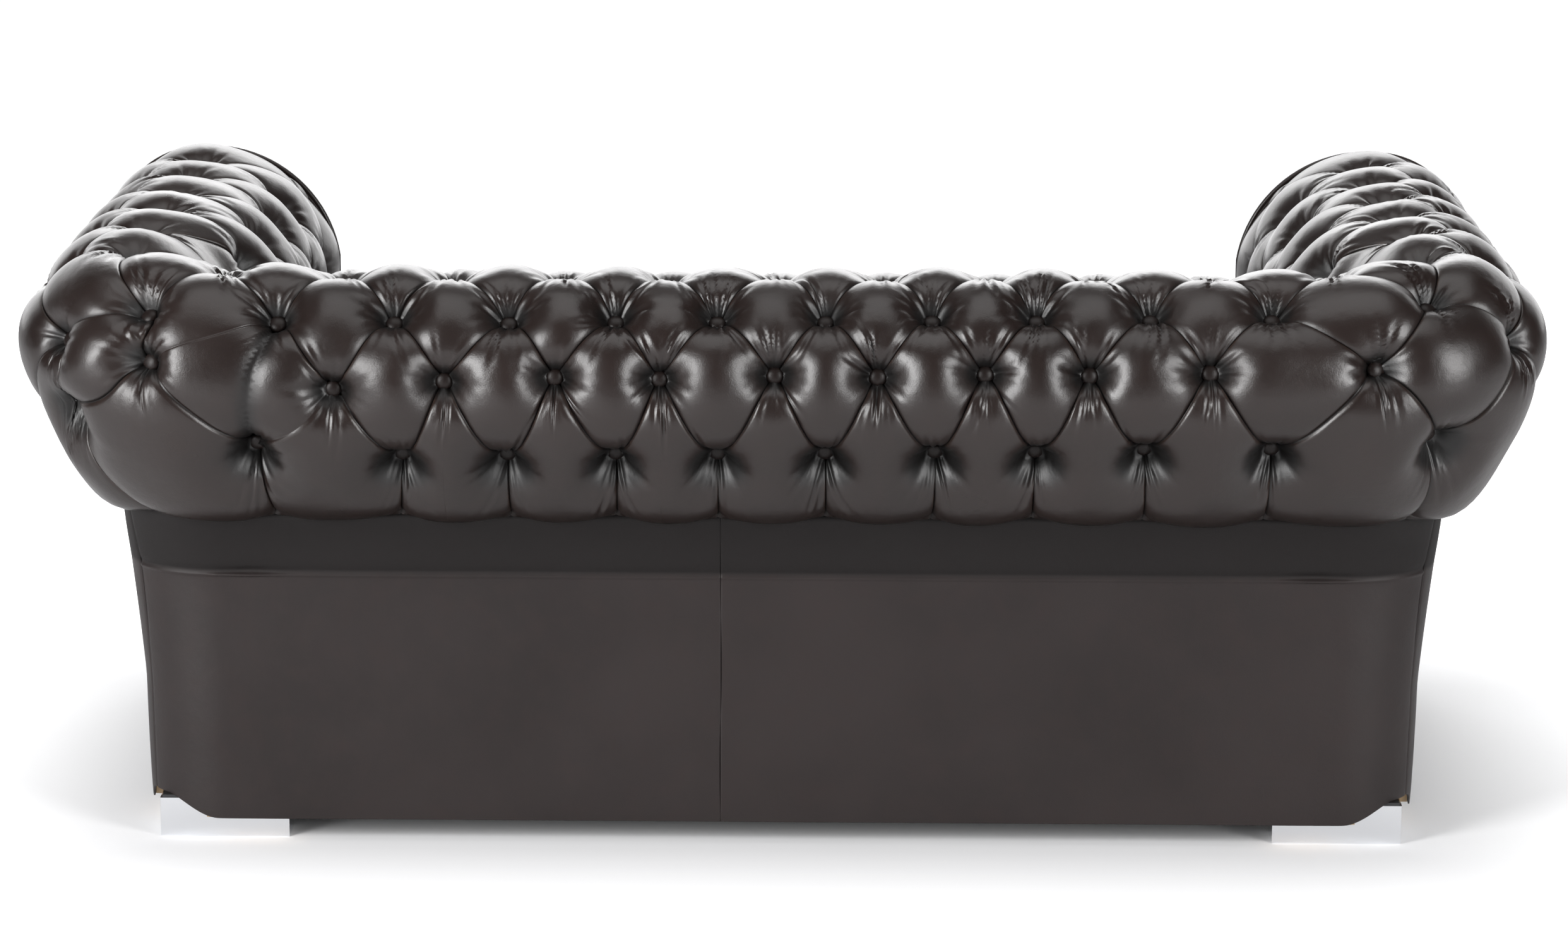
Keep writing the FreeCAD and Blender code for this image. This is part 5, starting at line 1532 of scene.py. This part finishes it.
def stretched_sheet(name, low, high, thick, sag, keep=None):
    """A thin closed sheet with a little sag, without the cells that keep() turns down."""
    columns, rows = 60, 30
    xs = np.linspace(low.x, high.x, columns)
    ys = np.linspace(low.y, high.y, rows)
    form = bmesh.new()
    grid = {}
    for i, x in enumerate(xs):
        for j, y in enumerate(ys):
            bow = math.sin(math.pi * i / (columns - 1)) * math.sin(math.pi * j / (rows - 1))
            grid[i, j] = form.verts.new((x, y, high.z - sag * bow))
    for i in range(columns - 1):
        for j in range(rows - 1):
            middle = ((xs[i] + xs[i + 1]) / 2, (ys[j] + ys[j + 1]) / 2)
            if keep is None or keep(*middle):
                form.faces.new((grid[i, j], grid[i + 1, j], grid[i + 1, j + 1], grid[i, j + 1]))
    loose = [vert for vert in form.verts if not vert.link_faces]
    bmesh.ops.delete(form, geom=loose, context="VERTS")
    area = sum(face.calc_area() for face in form.faces)
    mesh = bpy.data.meshes.new(name)
    form.to_mesh(mesh)
    form.free()
    obj = bpy.data.objects.new(name, mesh)
    bpy.context.scene.collection.objects.link(obj)
    solid = obj.modifiers.new("thickness", "SOLIDIFY")
    solid.thickness = thick
    solid.offset = -1
    made = evaluated_mesh(obj)
    obj.modifiers.remove(solid)
    obj.data = made
    made.polygons.foreach_set("use_smooth", [True] * len(made.polygons))
    return obj, area


# The dust cover stops short of the feet outside these bounds
FEET_X, FEET_FRONT, FEET_REAR = 0.562, -0.235, 0.128


class SOFA_OT_seat_cloths(bpy.types.Operator):
    """Hessian, felt and black cloths of the seat, and the cloth under the base"""

    bl_idname = "sofa.seat_cloths"
    bl_label = "Seat cloths"

    def execute(self, context):
        hessian = cloth_material("hessian_weave", (0.36, 0.27, 0.16), 260.0, 0.9)
        black = cloth_material("black_lining", (0.018, 0.018, 0.018), 500.0, 0.85)
        felt = cloth_material("deck_felt", (0.42, 0.39, 0.35), 90.0, 0.95)

        def clear_of_feet(x, y):
            return abs(x) <= FEET_X or FEET_FRONT <= y <= FEET_REAR

        plan = (
            ("seat_hessian", "hessian_sheet", hessian, "hessian", 0.0008, 0.0004, None,
             ["rear_seat_rail", "side_seat_rail_left", "side_seat_rail_right"]),
            ("deck_cover", "deck_cover_cloth", black, "black_cloth", 0.0008, 0.0003, None, ["deck_felt_pad"]),
            ("dust_cover", "dust_cover_cloth", black, "black_cloth", 0.0006, 0.004, clear_of_feet,
             ["rear_bottom_rail", "front_bottom_rail"]),
        )
        low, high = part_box("deck_pad")
        pad, _ = stretched_sheet("deck_felt_pad", low, high, high.z - low.z, 0.0)
        finish_piece(pad, "root", felt, ["deck_pad"])
        for node, name, material, slot_name, thick, sag, keep, rests in plan:
            low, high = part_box(node)
            obj, area = stretched_sheet(name, low, high, thick, sag, keep)
            finish_piece(obj, "root", material, [node])
        return {"FINISHED"}


# Finishes of the frame parts that keep their own mesh


def wood_material(name, colour, scale, axis):
    """Planed softwood or sawn plywood with grain along one axis."""
    wood = Finish(name)
    if not wood.fresh:
        return wood.material
    stretch = [scale, scale, scale]
    stretch["XYZ".index(axis)] = scale * 0.06
    grain = wood.noise(1.0, 6.0, 0.6, tuple(stretch))
    rings = wood.node("ShaderNodeTexWave", bands_direction="DIAGONAL")
    rings.inputs["Scale"].default_value = 1.0
    rings.inputs["Distortion"].default_value = 5.0
    wood.link(wood.scaled(tuple(value * 0.4 for value in stretch)), rings.inputs["Vector"])
    tone = wood.mix(wood.spread(rings.outputs["Fac"], 0.2, 0.9), toned(colour, 1.1), toned(colour, 0.72))
    base = wood.mix(wood.spread(grain, 0.4, 0.65, 0.0, 0.5), tone, toned(colour, 0.6))
    wood.link(base, wood.shader.inputs["Base Color"])
    wood.link(wood.bump(grain, 0.0004, 0.6), wood.shader.inputs["Normal"])
    wood.set(Roughness=0.62)
    return wood.material


def metal_material(name, colour, rough, scratch, metallic=1.0, stretch=(1, 1, 1)):
    """Metal with fine scratches and smudges in its gloss."""
    metal = Finish(name)
    if not metal.fresh:
        return metal.material
    smudge = metal.noise(24.0, 4.0)
    lines = metal.noise(420.0, 2.0, 0.5, stretch)
    metal.set(Base_Color=(*colour, 1.0), Metallic=metallic)
    gloss = metal.math("ADD", metal.spread(smudge, 0.35, 0.75, rough, rough + 0.08),
                       metal.spread(lines, 0.5, 0.8, 0.0, 0.04))
    metal.link(gloss, metal.shader.inputs["Roughness"])
    metal.link(metal.bump(lines, scratch, 0.5), metal.shader.inputs["Normal"])
    return metal.material


def board_card():
    card = Finish("pressed_card")
    if card.fresh:
        fibre = card.noise(180.0, 5.0)
        base = card.mix(card.spread(fibre, 0.35, 0.7), (0.30, 0.22, 0.14), (0.44, 0.34, 0.23))
        card.link(base, card.shader.inputs["Base Color"])
        card.link(card.bump(fibre, 0.0003, 0.7), card.shader.inputs["Normal"])
        card.set(Roughness=0.9)
    return card.material


class SOFA_OT_frame_finishes(bpy.types.Operator):
    """Wood, steel, card and chrome on the frame's own parts"""

    bl_idname = "sofa.frame_finishes"
    bl_label = "Frame finishes"

    def execute(self, context):
        pine, ply = colours().pine, colours().plywood
        along_x = wood_material("pine_across", pine, 60.0, "X")
        along_y = wood_material("pine_front_to_back", pine, 60.0, "Y")
        upright = wood_material("plywood_board", ply, 80.0, "Z")
        chrome = metal_material("polished_chrome", (0.80, 0.81, 0.83), 0.045, 0.00002)
        wire = metal_material("drawn_spring_wire", (0.20, 0.20, 0.21), 0.34, 0.00005)
        black = metal_material("black_steel", (0.020, 0.020, 0.021), 0.38, 0.00006, 0.0)
        zinc = metal_material("zinc_plate", (0.55, 0.56, 0.58), 0.28, 0.00005)
        rules = (
            ("seat_rail", along_y), ("side_", along_y), ("arm_tack", along_y), ("arm_top", along_y),
            ("stretcher", along_y), ("former", upright), ("front_board", upright), ("rear_seat", along_x),
            ("rear_bottom", along_x), ("front_bottom", along_x), ("back_top", along_x),
            ("back_tack", along_x), ("block", along_x), ("liner", board_card()), ("springs", wire),
            ("clips", black), ("plates", black), ("screws", zinc), ("foot_rear", chrome),
            ("foot_front", chrome),
        )
        for name, node in NODES.items():
            if node.hide_render:
                continue
            found = [material for part, material in rules if part in name]
            if not found:
                raise RuntimeError("no finish for " + name)
            node.data.materials.clear()
            node.data.materials.append(found[-1] if name.startswith("rear_seat") else found[0])
        return {"FINISHED"}


# Studio


def stage_material(name, colour, near, far, reflected):
    """White paper: it fills up to white for the camera and in reflections away from the sofa's feet."""
    white = Finish(name)
    if not white.fresh:
        return white.material
    fleck = white.spread(white.noise(3.0), 0.3, 0.7)
    white.link(white.mix(fleck, toned(colour, 0.995), colour), white.shader.inputs["Base Color"])
    white.set(Roughness=0.8, Specular_IOR_Level=0.0)
    white.set(Emission_Color=(1.0, 1.0, 1.0, 1.0))
    parts = white.node("ShaderNodeSeparateXYZ")
    white.link(white.place, parts.inputs[0])
    beside = white.math("SUBTRACT", white.math("ABSOLUTE", parts.outputs["X"], 0.0), 0.72)
    behind = white.math("SUBTRACT", white.math("ABSOLUTE", parts.outputs["Y"], 0.0), 0.33)
    beside = white.math("MAXIMUM", beside, 0.0)
    behind = white.math("MAXIMUM", behind, 0.0)
    squares = white.math("ADD", white.math("POWER", beside, 2.0), white.math("POWER", behind, 2.0))
    away = white.spread(white.math("SQRT", squares, 0.0), 0.0, 0.75, near, far)
    paths = white.node("ShaderNodeLightPath")
    mirrored = white.math("MULTIPLY", paths.outputs["Is Glossy Ray"], reflected)
    seen = white.math("MAXIMUM", paths.outputs["Is Camera Ray"], mirrored)
    white.link(white.math("MULTIPLY", seen, away), white.shader.inputs["Emission Strength"])
    return white.material


def area_light(name, place, target, width, height, power):
    light = bpy.data.lights.new(name, "AREA")
    light.shape = "RECTANGLE"
    light.size, light.size_y = width, height
    light.energy = power
    obj = bpy.data.objects.new(name, light)
    obj.location = place
    obj.rotation_euler = (Vector(target) - Vector(place)).to_track_quat("-Z", "Y").to_euler()
    bpy.context.scene.collection.objects.link(obj)
    return obj


class SOFA_OT_studio_stage(bpy.types.Operator):
    """Pale floor, white surroundings, soft boxes and the camera"""

    bl_idname = "sofa.studio_stage"
    bl_label = "Studio stage"

    def execute(self, context):
        scene = context.scene
        stage = scene.sofa_stage
        points = [(-14, -14, 0), (14, -14, 0), (14, 14, 0), (-14, 14, 0)]
        floor = mesh_object("studio_floor", points, [(0, 1, 2, 3)], smooth=False)
        floor.data.materials.append(stage_material("studio_white", colours().floor, 0.0, 0.85, 0.0))
        points = [(-5, -3.4, 0.3), (5, -3.4, 0.3), (5, -3.4, 3.6), (-5, -3.4, 3.6)]
        backdrop = mesh_object("studio_backdrop", points, [(0, 3, 2, 1)], smooth=False)
        backdrop.data.materials.append(stage_material("studio_backdrop_white", colours().floor, 1.7, 1.7, 1.0))
        backdrop.visible_camera = False
        backdrop.visible_shadow = False
        self.surroundings(scene, stage)
        area_light("soft_box_left", (3.1, 3.0, 1.55), (0.2, 0.2, 0.5), 1.5, 2.4, stage.key)
        area_light("soft_box_right", (-3.1, 3.0, 1.55), (-0.2, 0.2, 0.5), 1.5, 2.4, stage.fill)
        area_light("soft_box_top", (0.0, 0.4, 3.4), (0.0, 0.0, 0.4), 3.2, 2.4, stage.overhead)
        front = area_light("soft_box_front", (0.0, -3.0, 2.2), (0.0, 0.0, 0.4), 3.6, 1.2, stage.front)
        front.visible_camera = False
        camera = bpy.data.cameras.new("studio_camera")
        camera.lens = stage.lens
        camera.sensor_width = 36.0
        camera.clip_end = 60.0
        obj = bpy.data.objects.new("studio_camera", camera)
        turn = stage.camera_turn
        obj.location = (stage.camera_distance * math.sin(turn), stage.camera_distance * math.cos(turn),
                        stage.camera_height)
        obj.rotation_mode = "XYZ"
        obj.rotation_euler = (math.radians(90) - stage.camera_pitch, 0.0, math.radians(180) - turn)
        obj.rotation_euler.rotate_axis("Z", stage.camera_roll)
        scene.collection.objects.link(obj)
        scene.camera = obj
        scene.view_settings.view_transform = "Standard"
        return {"FINISHED"}

    @staticmethod
    def surroundings(scene, stage):
        world = scene.world or bpy.data.worlds.new("studio")
        scene.world = world
        world.use_nodes = True
        nodes, links = world.node_tree.nodes, world.node_tree.links
        ground = nodes["Background"]
        ground.inputs["Color"].default_value = (1.0, 1.0, 1.0, 1.0)
        paths = nodes.new("ShaderNodeLightPath")
        plain = nodes.new("ShaderNodeMapRange")
        plain.inputs["To Min"].default_value = stage.ambient
        plain.inputs["To Max"].default_value = stage.mirrored
        links.new(paths.outputs["Is Glossy Ray"], plain.inputs["Value"])
        seen = nodes.new("ShaderNodeMath")
        seen.operation = "MAXIMUM"
        links.new(paths.outputs["Is Camera Ray"], seen.inputs[0])
        links.new(paths.outputs["Is Transmission Ray"], seen.inputs[1])
        strength = nodes.new("ShaderNodeMath")
        strength.operation = "MAXIMUM"
        links.new(plain.outputs["Result"], strength.inputs[0])
        links.new(seen.outputs[0], strength.inputs[1])
        links.new(strength.outputs[0], ground.inputs["Strength"])


class SOFA_PT_sidebar(bpy.types.Panel):
    """Builds the sofa's looks piece by piece"""

    bl_idname = "SOFA_PT_sidebar"
    bl_label = "Chesterfield sofa"
    bl_space_type = "VIEW_3D"
    bl_region_type = "UI"
    bl_category = "Sofa"

    def draw(self, context):
        for step in STEPS:
            self.layout.operator("sofa." + step)


STEPS = (
    "tufted_leather", "covered_buttons", "outside_leather", "scroll_facings", "front_border",
    "seat_cushions", "seat_cloths", "frame_finishes", "studio_stage",
)

CLASSES = (
    BUTTONING_PG_sizes, COLOURS_PG_sofa, STAGE_PG_sofa,
    SOFA_OT_tufted_leather, SOFA_OT_covered_buttons, SOFA_OT_outside_leather, SOFA_OT_scroll_facings,
    SOFA_OT_front_border, SOFA_OT_seat_cushions, SOFA_OT_seat_cloths, SOFA_OT_frame_finishes,
    SOFA_OT_studio_stage, SOFA_PT_sidebar,
)


def register():
    for each in CLASSES:
        bpy.utils.register_class(each)
    bpy.types.Scene.buttoning_sizes = PointerProperty(type=BUTTONING_PG_sizes)
    bpy.types.Scene.sofa_colours = PointerProperty(type=COLOURS_PG_sofa)
    bpy.types.Scene.sofa_stage = PointerProperty(type=STAGE_PG_sofa)


def unregister():
    del bpy.types.Scene.sofa_stage
    del bpy.types.Scene.sofa_colours
    del bpy.types.Scene.buttoning_sizes
    for each in reversed(CLASSES):
        bpy.utils.unregister_class(each)


def main():
    register()
    for step in STEPS:
        getattr(bpy.ops.sofa, step)()


if __name__ == "__main__":
    main()
